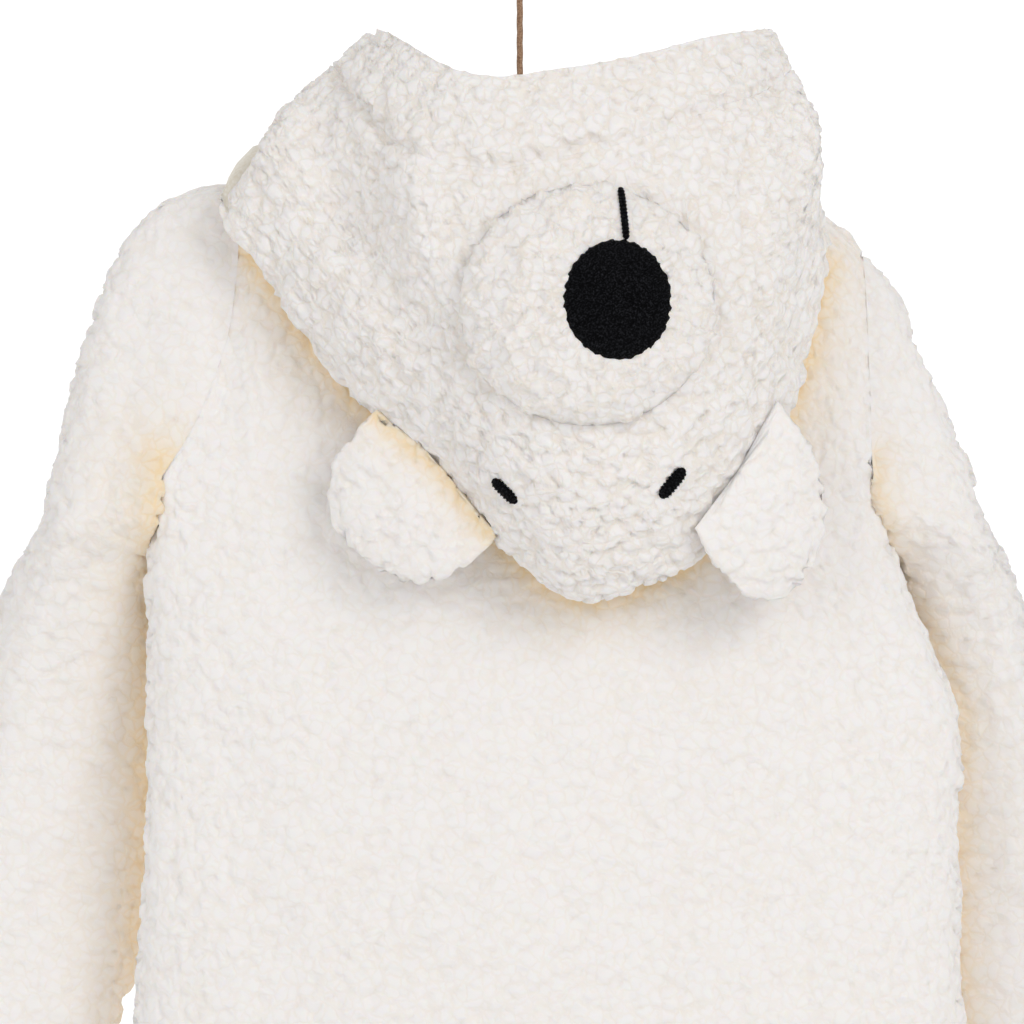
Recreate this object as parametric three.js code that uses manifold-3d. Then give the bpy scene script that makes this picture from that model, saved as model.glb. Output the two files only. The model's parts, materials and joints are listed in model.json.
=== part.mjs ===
import * as THREE from 'three';
import { mergeVertices } from 'three/addons/utils/BufferGeometryUtils.js';
import Module from 'manifold-3d';

// Baby snowsuit of sherpa fleece, seen from behind as it hangs: millimetres, +Z up, its front to -Y,
// the wearer's left to +X. The origin is where the twine's loop hangs, straight above the hanger.

// Driving dimensions
const CLOTH = 4.2;            // sherpa wall, from the backing to the tips of the pile
const SEAM_GAP = 0.3;         // between neighbouring pieces
const TOP_Z = -86;            // back neck line
const UNDERARM_Z = -212;
const CROTCH_Z = -525;
const HEM_Z = -770;
const CUFF_Z = -455;
const NECK_FRONT_Z = -124;
const NECK_LEFT_X = 57;
const NECK_RIGHT_X = -61;
const SUIT_X = -13;           // the suit hangs this far to one side of the twine
const NECK_X = -4;
const NECK_END = 1.5;         // angle round the neck where the hood's front edges stop, beside the opening
const HANGER_REACH = 126;
const HANGER_THICK = 6;
const HANGER_HEIGHT = 15;
const HANGER_BELOW = 9;       // from the shoulder line down to its top edge
const HANGER_HUMP_Z = -82;
const HANGER_HUMP_HALF = 40;
const HANGER_FOOT_Z = -95;
const HANGER_TIP_DROP = 0.3;    // share of its height that the tips are rounded off by
const TWINE_D = 2.5;
const LOOP_R = 9;
const KNOT_R = 3.4;
const NOSE_WIDTH = 38;
const NOSE_HEIGHT = 43;
const MUZZLE_WIDTH = 96;
const MUZZLE_HEIGHT = 91;
const MUZZLE_DEPTH = 14;
const BUTTON_D = 18;
const BUTTON_THICK = 3.2;
const BUTTON_COUNT = 5;
const BUTTON_FIRST_Z = -150;
const BUTTON_LAST_Z = -470;
const PLACKET_WIDTH = 30;
const PLACKET_THICK = 2.2;
const PLACKET_TOP_Z = -130;
const PLACKET_END_Z = -505;

// Columns of quads: side of the body, half a back, the sleeve cap, half an inner side of a tube
const SIDE_COLUMNS = 2;
const HALF_COLUMNS = 7;
const CAP_COLUMNS = 8;
const INNER_COLUMNS = 2;
const CORNER_ANGLE = 0.42;      // angle that the side columns take up on the body
const LEG_CORNER = 0.6;         // and the inner columns on half a leg
const SLEEVE_CORNER = 0.75;     // and on a sleeve
const CAP_TOP_LEFT = -97;       // a sleeve cap starts at this slice
const CAP_TOP_RIGHT = -124;
const SHOULDER_SQUARENESS = 2.6;
const FRONT_SQUARENESS = { share: 0.5, added: 0.85 };   // the front is rounder than the back

// Above the underarm one slice takes in body and both sleeve caps. left and right are the outline,
// seamLeft and seamRight the armhole seams, depth half the slice from front to back.
const SHOULDER_ROWS = [
  { z: -86, left: 60, right: -64, seamLeft: 108, seamRight: -133, depth: 7.5 },
  { z: -91, left: 86, right: -79, seamLeft: 108, seamRight: -133, depth: 11.5 },
  { z: -97, left: 108.6, right: -92, seamLeft: 108, seamRight: -133, depth: 14.5 },
  { z: -103, left: 130, right: -104, seamLeft: 108, seamRight: -133, depth: 17 },
  { z: -110, left: 143, right: -116, seamLeft: 108, seamRight: -133, depth: 20 },
  { z: -117, left: 148.5, right: -125.5, seamLeft: 108, seamRight: -133, depth: 22.3 },
  { z: -121, left: 151, right: -130.5, seamLeft: 108, seamRight: -133, depth: 23.6 },
  { z: NECK_FRONT_Z, left: 153, right: -133.6, seamLeft: 108, seamRight: -133, depth: 24.5 },
  { z: -136, left: 159, right: -142, seamLeft: 109, seamRight: -133.5, depth: 28 },
  { z: -152, left: 165, right: -150.5, seamLeft: 111, seamRight: -134, depth: 31.5 },
  { z: -170, left: 170.5, right: -158, seamLeft: 116, seamRight: -134.5, depth: 34.5 },
  { z: -192, left: 175, right: -166, seamLeft: 125, seamRight: -135, depth: 37.5 },
  { z: UNDERARM_Z, left: 181, right: -175, seamLeft: 137, seamRight: -135, depth: 39 },
];

// Body below the underarm: outline, the side seam's y, and how far back and front reach from it
const BODY_ROWS = [
  { z: -226, left: 138.6, right: -138, seamY: 4, back: 35.5, front: 43, squareness: 5 },
  { z: -245, left: 140.6, right: -143, seamY: 9, back: 31.5, front: 49, squareness: 3.6 },
  { z: -270, left: 142, right: -156, seamY: 13, back: 28.5, front: 55, squareness: 2.8 },
  { z: -300, left: 142.5, right: -168, seamY: 14, back: 28.5, front: 57, squareness: 2.5 },
  { z: -345, left: 143, right: -169, seamY: 14, back: 29.5, front: 58, squareness: 2.4 },
  { z: -400, left: 146, right: -169, seamY: 12, back: 31.5, front: 57, squareness: 2.4 },
  { z: -450, left: 149, right: -172, seamY: 8, back: 35, front: 52, squareness: 2.5 },
  { z: -495, left: 150, right: -175, seamY: 4, back: 38, front: 46, squareness: 2.8 },
];
const CROTCH_ROW = { z: CROTCH_Z, left: 150, right: -176, seamY: 0, back: 40, front: 42, squareness: 3.2 };

// Tubes: outer and inner edge as distances from the suit's middle or the twine, y of the middle, half depth
const LEG_ROWS = [
  { z: -545, outer: 163, inner: 2.5, y: 0, depth: 40, squareness: 3 },
  { z: -590, outer: 160, inner: 9, y: 0, depth: 38, squareness: 2.5 },
  { z: -650, outer: 156, inner: 19, y: 0, depth: 36, squareness: 2.3 },
  { z: -710, outer: 150, inner: 31, y: 0, depth: 33, squareness: 2.2 },
  { z: HEM_Z, outer: 143, inner: 43, y: 0, depth: 30, squareness: 2.2 },
];
const SLEEVE_LEFT_ROWS = [
  { z: -226, outer: 185, inner: 139.8, y: -8, depth: 36, squareness: 3 },
  { z: -245, outer: 194, inner: 140, y: -19, depth: 33, squareness: 2.4 },
  { z: -270, outer: 204, inner: 136, y: -27, depth: 30, squareness: 2.1 },
  { z: -300, outer: 214, inner: 134, y: -31, depth: 27, squareness: 2 },
  { z: -345, outer: 229, inner: 138, y: -31, depth: 23.5, squareness: 2 },
  { z: -400, outer: 247, inner: 147, y: -27, depth: 20.5, squareness: 2 },
  { z: CUFF_Z, outer: 264, inner: 168, y: -22, depth: 18, squareness: 2 },
];
const SLEEVE_RIGHT_ROWS = [
  { z: -226, outer: 181, inner: 139.4, y: -8, depth: 36, squareness: 3 },
  { z: -245, outer: 189, inner: 143.5, y: -20, depth: 33, squareness: 2.4 },
  { z: -270, outer: 198, inner: 147, y: -31, depth: 30, squareness: 2.1 },
  { z: -300, outer: 209, inner: 151, y: -36, depth: 27, squareness: 2 },
  { z: -345, outer: 225, inner: 154, y: -36, depth: 23.5, squareness: 2 },
  { z: -400, outer: 242, inner: 161, y: -30, depth: 20.5, squareness: 2 },
  { z: CUFF_Z, outer: 258, inner: 176, y: -24, depth: 18, squareness: 2 },
];

// Hood, round the neck: around is -1 at the right front edge, 0 at the back, 1 at the left front edge.
// The pouch turns at its crown edge and comes up again to the face edge, here called the rim.
const HOOD_STATIONS = [
  { around: -1, crownX: -10, crownY: -27, crownZ: -114, rimX: -9, rimY: -30, rimZ: -106, belly: -30, hem: 7 },
  { around: -0.8, crownX: -52, crownY: -26, crownZ: -92, rimX: -60, rimY: -27, rimZ: -76, belly: -28, hem: 13 },
  { around: -0.64, crownX: -78, crownY: -14, crownZ: -74, rimX: -90, rimY: -10, rimZ: -52, belly: -6, hem: 18 },
  { around: -0.5, crownX: -115, crownY: 34, crownZ: -112, rimX: -97, rimY: 20, rimZ: -41, belly: 44, hem: 18 },
  { around: -0.4, crownX: -110, crownY: 52, crownZ: -162, rimX: -88, rimY: 44, rimZ: -41.5, belly: 66, hem: 24 },
  { around: -0.3, crownX: -95, crownY: 62, crownZ: -205, rimX: -72, rimY: 60, rimZ: -44, belly: 84, hem: 27 },
  { around: -0.2, crownX: -72, crownY: 66, crownZ: -238, rimX: -52, rimY: 70, rimZ: -49.5, belly: 95, hem: 30 },
  { around: -0.1, crownX: -45, crownY: 67, crownZ: -253, rimX: -32, rimY: 75, rimZ: -54, belly: 100, hem: 32 },
  { around: 0, crownX: -20, crownY: 67, crownZ: -257, rimX: -12, rimY: 77, rimZ: -57, belly: 101, hem: 34 },
  { around: 0.1, crownX: 6, crownY: 65, crownZ: -238, rimX: 8, rimY: 76, rimZ: -59.5, belly: 97, hem: 35 },
  { around: 0.2, crownX: 32, crownY: 61, crownZ: -208, rimX: 26, rimY: 70, rimZ: -56, belly: 88, hem: 36 },
  { around: 0.3, crownX: 66, crownY: 54, crownZ: -177, rimX: 40, rimY: 58, rimZ: -48, belly: 74, hem: 37 },
  { around: 0.4, crownX: 96, crownY: 44, crownZ: -136, rimX: 50, rimY: 42, rimZ: -42, belly: 56, hem: 28 },
  { around: 0.5, crownX: 113, crownY: 28, crownZ: -103, rimX: 57, rimY: 20, rimZ: -41, belly: 34, hem: 20 },
  { around: 0.64, crownX: 62, crownY: -12, crownZ: -76, rimX: 65, rimY: -6, rimZ: -49, belly: -8, hem: 20 },
  { around: 0.8, crownX: 42, crownY: -24, crownZ: -92, rimX: 46, rimY: -25, rimZ: -73, belly: -28, hem: 14 },
  { around: 1, crownX: 3, crownY: -27, crownZ: -114, rimX: 2, rimY: -30, rimZ: -106, belly: -30, hem: 7 },
];
const HOOD_CLOTH = 3.4;
const HOOD_ROLL = 7;            // how far the stand of the hood leans out before it turns down
const HOOD_STAND = 13;
const HOOD_CLEAR = 1.2;         // between the back and the hood that hangs on it
const HOOD_ABOVE = 6;           // above the shoulder line, where the hood crosses it
const HOOD_BULGE = 7;
const HEM_BULGE = 4;
const COLLAR_GROWTH = 1.25;     // each stretch of the collar's path is longer than the one below it
const RIM_RAISE = 1.6;          // the turned hem is thicker by this much
const LIE_GAP = 0.6;
const MUZZLE_X = -25.5;
const MUZZLE_Z = -146;
const MUZZLE_EDGE = 2.5;
const NOSE_X = -36;
const NOSE_Z = -146;
const NOSE_STITCH = 1.8;

// Folds of the hood's face in the view from behind: a line, how deep and how wide. Ridges are negative.
const HOOD_FOLDS = [
  { fromX: 78, fromZ: -66, toX: 66, toZ: -110, depth: 10, width: 15 },
  { fromX: 66, fromZ: -110, toX: 42, toZ: -160, depth: 7, width: 14 },
  { fromX: 40, fromZ: -84, toX: 38, toZ: -130, depth: -4, width: 9 },
  { fromX: -86, fromZ: -80, toX: -85, toZ: -118, depth: 3, width: 8 },
];
const MOUTH = { fromX: -37.5, fromZ: -103, toX: -39, toZ: -123.5, width: 2.8 };
const EYE_LEFT = { fromX: 10, fromZ: -212, toX: 1, toZ: -221, width: 4.2 };
const EYE_RIGHT = { fromX: -53, fromZ: -219, toX: -62, toZ: -208, width: 5.4 };
const EAR_LEFT = {
  aroundFrom: 0.11, aroundTo: 0.27, upFrom: 0.52, upTo: 0.52, clear: 2.4,
  outX: 0.7, outY: -0.2, outZ: -0.7, length: 40, widen: 0, thick: 8, cup: 3, drop: 4,
};
const EAR_RIGHT = {
  aroundFrom: -0.32, aroundTo: -0.18, upFrom: 0.57, upTo: 0.555, clear: 4.1,
  outX: -0.54, outY: -0.25, outZ: -0.84, length: 46, widen: 0.05, thick: 8, cup: 4, drop: 6,
};
const HOOD_UP_STEPS = 24;
const HOOD_KNOTS = 8;           // stretches of the path: the last one is the turned hem
const HOOD_RIM_FROM = 7 / HOOD_KNOTS;
const HOOD_CENTRE_HALF = 0.21;  // half of the centre strip, as a share of the way round

const FLEECE = '#ece6e2';
const FLEECE_DEEP = '#e6ded8';
const BLACK = '#121215';
const WOOD = '#c79a63';
const JUTE = '#7a4a30';

const wasm = await Module();
wasm.setup();

const group = new THREE.Group();

function addMesh(name, geometry, color, roughness) {
  const material = new THREE.MeshStandardMaterial({ color, roughness, metalness: 0 });
  const mesh = new THREE.Mesh(geometry, material);
  mesh.name = name;
  group.add(mesh);
  return mesh;
}

// A row of a table at height z, worked out between its two neighbours
function rowAt(rows, key, value) {
  const rising = rows[rows.length - 1][key] > rows[0][key];
  const last = rows.length - 1;
  let i = 0;
  while (i < last - 1 && (rising ? value > rows[i + 1][key] : value < rows[i + 1][key])) i += 1;
  const share = (value - rows[i][key]) / (rows[i + 1][key] - rows[i][key]);
  const held = THREE.MathUtils.clamp(share, 0, 1);
  const row = {};
  for (const name of Object.keys(rows[i])) {
    row[name] = THREE.MathUtils.lerp(rows[i][name], rows[i + 1][name], held);
  }
  row[key] = value;
  return row;
}

// Superellipse section: how much of the depth is left at this share of the half width
function roundOff(share, squareness) {
  return Math.pow(Math.max(0, 1 - Math.pow(Math.min(1, Math.abs(share)), squareness)), 1 / squareness);
}

function middleX(z) {
  const share = THREE.MathUtils.smoothstep(-z, -NECK_FRONT_Z, -UNDERARM_Z);
  return THREE.MathUtils.lerp(NECK_X, SUIT_X, share);
}

// Point on the slice through shoulders and sleeve caps, by its angle: 0 at the left, 90 degrees behind
function shoulderPoint(angle, z) {
  const row = rowAt(SHOULDER_ROWS, 'z', z);
  const half = (row.left - row.right) / 2;
  const x = (row.left + row.right) / 2 + half * Math.cos(angle);
  const y = Math.sign(Math.sin(angle)) * row.depth * roundOff(Math.cos(angle), SHOULDER_SQUARENESS);
  return new THREE.Vector3(x, y, z);
}

function shoulderAngle(x, z) {
  const row = rowAt(SHOULDER_ROWS, 'z', z);
  const share = (x - (row.left + row.right) / 2) / ((row.left - row.right) / 2);
  return Math.acos(THREE.MathUtils.clamp(share, -1, 1));
}

const ALL_BODY_ROWS = [
  { z: UNDERARM_Z, left: 137, right: -135, seamY: 0, back: 39, front: 39, squareness: 8 },
  ...BODY_ROWS,
  CROTCH_ROW,
];

function bodyPoint(angle, z) {
  const row = rowAt(ALL_BODY_ROWS, 'z', z);
  const x = (row.left + row.right) / 2 + (row.left - row.right) / 2 * Math.cos(angle);
  const behind = Math.sin(angle) >= 0;
  const softened = row.squareness * FRONT_SQUARENESS.share + FRONT_SQUARENESS.added;
  const squareness = behind ? row.squareness : Math.min(row.squareness, softened);
  const reach = (behind ? row.back : -row.front) * roundOff(Math.cos(angle), squareness);
  return new THREE.Vector3(x, row.seamY + reach, z);
}

function bodyAngle(x, z) {
  const row = rowAt(ALL_BODY_ROWS, 'z', z);
  const share = (x - (row.left + row.right) / 2) / ((row.left - row.right) / 2);
  return Math.acos(THREE.MathUtils.clamp(share, -1, 1));
}

// Point on a sleeve or leg: angle 0 on the outer side, 90 degrees behind; side is 1 left, -1 right
function tubePoint(rows, side, offset, angle, z) {
  const row = rowAt(rows, 'z', z);
  const x = (row.outer + row.inner) / 2 + (row.outer - row.inner) / 2 * Math.cos(angle);
  const y = row.y + Math.sign(Math.sin(angle)) * row.depth * roundOff(Math.cos(angle), row.squareness);
  return new THREE.Vector3(offset + side * x, y, z);
}

// A vertex with the surface's outward direction, from the differences of its two parameters
function surfaceVertex(surface, a, b, stepA, stepB, flip) {
  const along = surface(a + stepA, b).sub(surface(a - stepA, b));
  const across = surface(a, b + stepB).sub(surface(a, b - stepB));
  const normal = new THREE.Vector3().crossVectors(along, across).normalize();
  if (flip) normal.negate();
  return { point: surface(a, b), normal };
}

const ringVertex = (surface, angle, z, flip) => surfaceVertex(surface, angle, z, 0.02, 0.7, flip);

// Neighbouring walls split their seam faces alike, from the lower point to the upper one
const isBefore = (p, q) => (p.z !== q.z ? p.z < q.z : p.x !== q.x ? p.x < q.x : p.y < q.y);

// Closed wall from quads of vertices: the outer side, the same side moved in, and the rim between them.
// Its border is drawn back by half a seam gap, and raise moves the outer side out.
function wallGeometry(quads, thickness, raise = () => 0, border = SEAM_GAP / 2) {
  const sink = typeof thickness === 'function' ? thickness : () => thickness;
  const index = new Map();
  const vertices = [];
  const idOf = (vertex) => {
    if (!index.has(vertex)) {
      index.set(vertex, vertices.length);
      vertices.push({ point: vertex.point.clone(), normal: vertex.normal.clone(), source: vertex });
    }
    return index.get(vertex);
  };
  const faces = quads.map((quad) => quad.map(idOf));
  const edges = new Map();
  for (const face of faces) {
    face.forEach((a, k) => {
      const b = face[(k + 1) % face.length];
      const twin = `${b}_${a}`;
      if (edges.has(twin)) edges.delete(twin);
      else edges.set(`${a}_${b}`, [a, b]);
    });
  }
  const inward = new Map();
  for (const [a, b] of edges.values()) {
    const along = vertices[b].point.clone().sub(vertices[a].point).normalize();
    for (const id of [a, b]) {
      const into = new THREE.Vector3().crossVectors(vertices[id].normal, along).normalize();
      if (!inward.has(id)) inward.set(id, []);
      inward.get(id).push(into);
    }
  }
  for (const [id, list] of inward) {
    const sum = list.reduce((total, into) => total.add(into), new THREE.Vector3()).divideScalar(list.length);
    const length = Math.max(0.35, sum.lengthSq());
    vertices[id].point.addScaledVector(sum, border / length);
  }
  const count = vertices.length;
  const positions = new Float32Array(count * 6);
  vertices.forEach(({ point, normal, source }, i) => {
    const outer = point.clone().addScaledVector(normal, raise(source));
    const inner = point.clone().addScaledVector(normal, -sink(source));
    positions.set([outer.x, outer.y, outer.z], i * 3);
    positions.set([inner.x, inner.y, inner.z], (count + i) * 3);
  });
  const triangles = [];
  for (const [a, b, c, d] of faces) {
    triangles.push(a, b, c);
    triangles.push(count + a, count + c, count + b);
    if (d !== undefined) {
      triangles.push(a, c, d);
      triangles.push(count + a, count + d, count + c);
    }
  }
  for (const [a, b] of edges.values()) {
    if (isBefore(vertices[a].source.point, vertices[b].source.point)) {
      triangles.push(b, a, count + a, b, count + a, count + b);
    } else triangles.push(b, a, count + b, a, count + a, count + b);
  }
  const geometry = new THREE.BufferGeometry();
  geometry.setAttribute('position', new THREE.BufferAttribute(positions, 3));
  geometry.setIndex(triangles);
  return geometry;
}

// Quads between neighbouring rows of vertices, left out where a vertex is missing, each facing outward
function addPatch(quads, rows) {
  for (let j = 0; j + 1 < rows.length; j += 1) {
    for (let i = 0; i + 1 < rows[j].length; i += 1) {
      const corners = [rows[j][i], rows[j + 1][i], rows[j + 1][i + 1], rows[j][i + 1]];
      if (!corners.every(Boolean)) continue;
      const [a, b, c, d] = corners.map((vertex) => vertex.point);
      const facing = new THREE.Vector3().crossVectors(c.clone().sub(a), d.clone().sub(b));
      const outward = corners.reduce((sum, vertex) => sum.add(vertex.normal), new THREE.Vector3());
      quads.push(facing.dot(outward) < 0 ? corners.reverse() : corners);
    }
  }
}

const spread = (from, to, steps, skip = 0) =>
  Array.from({ length: steps + 1 - skip }, (_, i) => from + (to - from) * (i + skip) / steps);

const chordVertex = (x, y, z, side) =>
  ({ point: new THREE.Vector3(x, y, z), normal: new THREE.Vector3(side, 0, 0) });

// Angles of the neckline and middle on the front slices
function frontEdgeX(side, z) {
  const middle = middleX(z);
  if (z < NECK_FRONT_Z) return middle;
  const neckX = side > 0 ? NECK_LEFT_X : NECK_RIGHT_X;
  const share = (TOP_Z - z) / (TOP_Z - NECK_FRONT_Z) * Math.sin(NECK_END);
  return middle + (neckX - middle) * Math.sqrt(Math.max(0, 1 - share * share));
}

// Rows of the upper body: behind from left seam to right seam, in front from a seam to the neck or middle
function seamAngle(side, z) {
  const row = rowAt(SHOULDER_ROWS, 'z', z);
  const x = side > 0 ? Math.min(row.seamLeft, row.left) : Math.max(row.seamRight, row.right);
  return shoulderAngle(x, z);
}

const shoulderZ = SHOULDER_ROWS.map((row) => row.z);
const bodyZ = BODY_ROWS.map((row) => row.z);
const legZ = LEG_ROWS.map((row) => row.z);
const missing = (count) => Array.from({ length: count }, () => null);


// At the top of a sleeve cap the slice is narrow, so its vertices all share the outline's direction
function shoulderVertex(angle, z) {
  const vertex = ringVertex(shoulderPoint, angle, z, false);
  const side = Math.cos(angle) > 0 ? 1 : -1;
  const atTop = z === (side > 0 ? CAP_TOP_LEFT : CAP_TOP_RIGHT);
  const seam = seamAngle(side, z);
  const fromOutside = side > 0 ? Math.abs(angle) : Math.abs(Math.PI - Math.abs(angle));
  const onCap = fromOutside < (side > 0 ? seam : Math.PI - seam) + 0.01;
  const outline = () => ringVertex(shoulderPoint, side > 0 ? 0 : Math.PI, z, false).normal;
  if (atTop && onCap) vertex.normal = outline();
  if (z === TOP_Z && angle < 0) vertex.normal = outline();
  return vertex;
}
const bodyVertex = (angle, z) => ringVertex(bodyPoint, angle, z, false);

function backRows() {
  const rows = [];
  for (const z of shoulderZ) {
    const left = seamAngle(1, z);
    const right = seamAngle(-1, z);
    const middle = shoulderAngle(middleX(z), z);
    const angles = [...spread(left, middle, HALF_COLUMNS), ...spread(middle, right, HALF_COLUMNS, 1)];
    const main = angles.map((angle) => shoulderVertex(angle, z));
    if (z > UNDERARM_Z) {
      rows.push([...missing(SIDE_COLUMNS), ...main, ...missing(SIDE_COLUMNS)]);
      continue;
    }
    const leftSide = spread(0, main[0].point.y, SIDE_COLUMNS).slice(0, -1)
      .map((y) => chordVertex(main[0].point.x - SEAM_GAP / 2, y, z, 1));
    const last = main[main.length - 1].point;
    const rightSide = spread(last.y, 0, SIDE_COLUMNS, 1).map((y) => chordVertex(last.x + SEAM_GAP / 2, y, z, -1));
    rows.push([...leftSide, ...main, ...rightSide]);
  }
  for (const z of [...bodyZ, CROTCH_Z]) {
    const middle = bodyAngle(middleX(z), z);
    const angles = [
      ...spread(0, CORNER_ANGLE, SIDE_COLUMNS).slice(0, -1),
      ...spread(CORNER_ANGLE, middle, HALF_COLUMNS),
      ...spread(middle, Math.PI - CORNER_ANGLE, HALF_COLUMNS, 1),
      ...spread(Math.PI - CORNER_ANGLE, Math.PI, SIDE_COLUMNS, 1),
    ];
    rows.push(angles.map((angle) => bodyVertex(angle, z)));
  }
  return rows;
}

function frontRows(side) {
  const rows = [];
  for (const z of shoulderZ) {
    const outer = seamAngle(side, z);
    const inner = shoulderAngle(frontEdgeX(side, z), z);
    const main = spread(outer, inner, HALF_COLUMNS).map((angle) => shoulderVertex(-angle, z));
    if (z > UNDERARM_Z) {
      rows.push([...missing(SIDE_COLUMNS), ...main]);
      continue;
    }
    const { x, y } = main[0].point;
    const chordX = x - side * SEAM_GAP / 2;
    const chord = spread(0, y, SIDE_COLUMNS).slice(0, -1).map((height) => chordVertex(chordX, height, z, side));
    rows.push([...chord, ...main]);
  }
  for (const z of [...bodyZ, CROTCH_Z]) {
    const middle = bodyAngle(middleX(z), z);
    const edge = side > 0 ? 0 : Math.PI;
    const corner = side > 0 ? CORNER_ANGLE : Math.PI - CORNER_ANGLE;
    const angles = [
      ...spread(edge, corner, SIDE_COLUMNS).slice(0, -1),
      ...spread(corner, middle, HALF_COLUMNS),
    ];
    rows.push(angles.map((angle) => bodyVertex(-angle, z)));
  }
  return rows;
}

// Half of a leg, behind or in front: it hangs on the body's crotch row and a chord at the crotch
function legRows(side, face, crotchRow) {
  const inner = crotchRow[crotchRow.length - 1];
  const chord = spread(inner.point.y, 0, INNER_COLUMNS, 1)
    .map((y) => chordVertex(inner.point.x + side * SEAM_GAP, y, CROTCH_Z, -side));
  const rows = [[...crotchRow, ...chord]];
  const outerCount = crotchRow.length - 1;
  const innerCorner = Math.PI - LEG_CORNER;
  for (const z of legZ) {
    const angles = [...spread(0, innerCorner, outerCount), ...spread(innerCorner, Math.PI, INNER_COLUMNS, 1)];
    const surface = (angle, height) => tubePoint(LEG_ROWS, side, SUIT_X, angle, height);
    rows.push(angles.map((angle) => ringVertex(surface, face * angle, z, side < 0)));
  }
  return rows;
}

// The body's walls grown by a seam gap, to trim what hangs over them
const blanks = [];

function addCloth(name, quads) {
  addMesh(name, wallGeometry(quads, CLOTH), FLEECE, 0.95);
  blanks.push(solidOf(wallGeometry(quads, CLOTH + SEAM_GAP, () => SEAM_GAP, -SEAM_GAP / 2)));
}

function solidOf(geometry) {
  const merged = mergeVertices(new THREE.BufferGeometry().setAttribute('position',
    (geometry.index ? geometry.toNonIndexed() : geometry).getAttribute('position').clone()), 1e-5);
  return new wasm.Manifold(new wasm.Mesh({
    numProp: 3,
    vertProperties: new Float32Array(merged.getAttribute('position').array),
    triVerts: new Uint32Array(merged.index.array),
  }));
}

function geometryOf(solid) {
  const bodies = solid.decompose().sort((a, b) => b.volume() - a.volume());
  const { vertProperties, triVerts } = bodies[0].getMesh();
  const geometry = new THREE.BufferGeometry();
  geometry.setAttribute('position', new THREE.BufferAttribute(new Float32Array(vertProperties), 3));
  geometry.setIndex(Array.from(triVerts));
  return geometry;
}

function addBody() {
  const back = backRows();
  const quads = [];
  addPatch(quads, back);
  const crotch = back[back.length - 1];
  const middle = SIDE_COLUMNS + HALF_COLUMNS;
  addPatch(quads, legRows(1, 1, crotch.slice(0, middle + 1)));
  addPatch(quads, legRows(-1, 1, crotch.slice(middle).reverse()));
  addCloth('back', quads);
  for (const [name, side] of [['front_left', 1], ['front_right', -1]]) {
    const front = frontRows(side);
    const panel = [];
    addPatch(panel, front);
    addPatch(panel, legRows(side, -1, front[front.length - 1]));
    addCloth(name, panel);
  }
}

function addSleeve(name, side, rows, topZ) {
  const grid = [];
  for (const z of shoulderZ.filter((height) => height <= topZ)) {
    const seam = seamAngle(side, z);
    const angles = spread(seam, side > 0 ? -seam : 2 * Math.PI - seam, CAP_COLUMNS);
    grid.push(angles.map((angle) => shoulderVertex(angle, z)));
  }
  const last = grid[grid.length - 1];
  const { x, y } = last[0].point;
  const chord = spread(-y, y, 2 * INNER_COLUMNS, 1).slice(0, -1)
    .map((height) => chordVertex(x + side * SEAM_GAP / 2, height, UNDERARM_Z, -side));
  const lower = [[...last, ...chord, last[0]]];
  const surface = (angle, height) => tubePoint(rows, side, 0, angle, height);
  const corner = Math.PI - SLEEVE_CORNER;
  for (const { z } of rows) {
    const angles = [
      ...spread(corner, -corner, CAP_COLUMNS),
      ...spread(-corner, corner - 2 * Math.PI, 2 * INNER_COLUMNS, 1).slice(0, -1),
    ];
    const ring = angles.map((angle) => ringVertex(surface, angle, z, side < 0));
    lower.push([...ring, ring[0]]);
  }
  const quads = [];
  addPatch(quads, grid);
  addPatch(quads, lower);
  addCloth(name, quads);
}

// Outer surface of the back at (x, z), measured to +Y
function backY(x, z) {
  const held = Math.min(z, TOP_Z);
  if (held > UNDERARM_Z) return shoulderPoint(shoulderAngle(x, held), held).y;
  return bodyPoint(bodyAngle(x, held), held).y;
}

// Height of the shoulder line at x
function ridgeZ(x) {
  const { left, right } = SHOULDER_ROWS[0];
  if (x > left) return rowAt(SHOULDER_ROWS, 'left', x).z;
  if (x < right) return rowAt(SHOULDER_ROWS, 'right', x).z;
  return TOP_Z;
}

// Seam point of the hood on the neckline, for its way round: behind on the back's top edge, then the fronts'
function neckPoint(around) {
  const side = Math.sign(around) || 1;
  const neckX = side > 0 ? NECK_LEFT_X : NECK_RIGHT_X;
  const lift = new THREE.Vector3(0, 0, SEAM_GAP);
  if (Math.abs(around) <= 0.5) {
    const turn = Math.PI / 2 * (1 - Math.abs(around) / 0.5);
    return shoulderPoint(side > 0 ? turn : Math.PI - turn, TOP_Z).add(lift);
  }
  const down = (Math.abs(around) - 0.5) / 0.5 * NECK_END;
  const x = NECK_X + (neckX - NECK_X) * Math.cos(down);
  const z = TOP_Z - (TOP_Z - NECK_FRONT_Z) * Math.sin(down) / Math.sin(NECK_END);
  return shoulderPoint(-shoulderAngle(x, z), z).add(lift);
}

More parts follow.
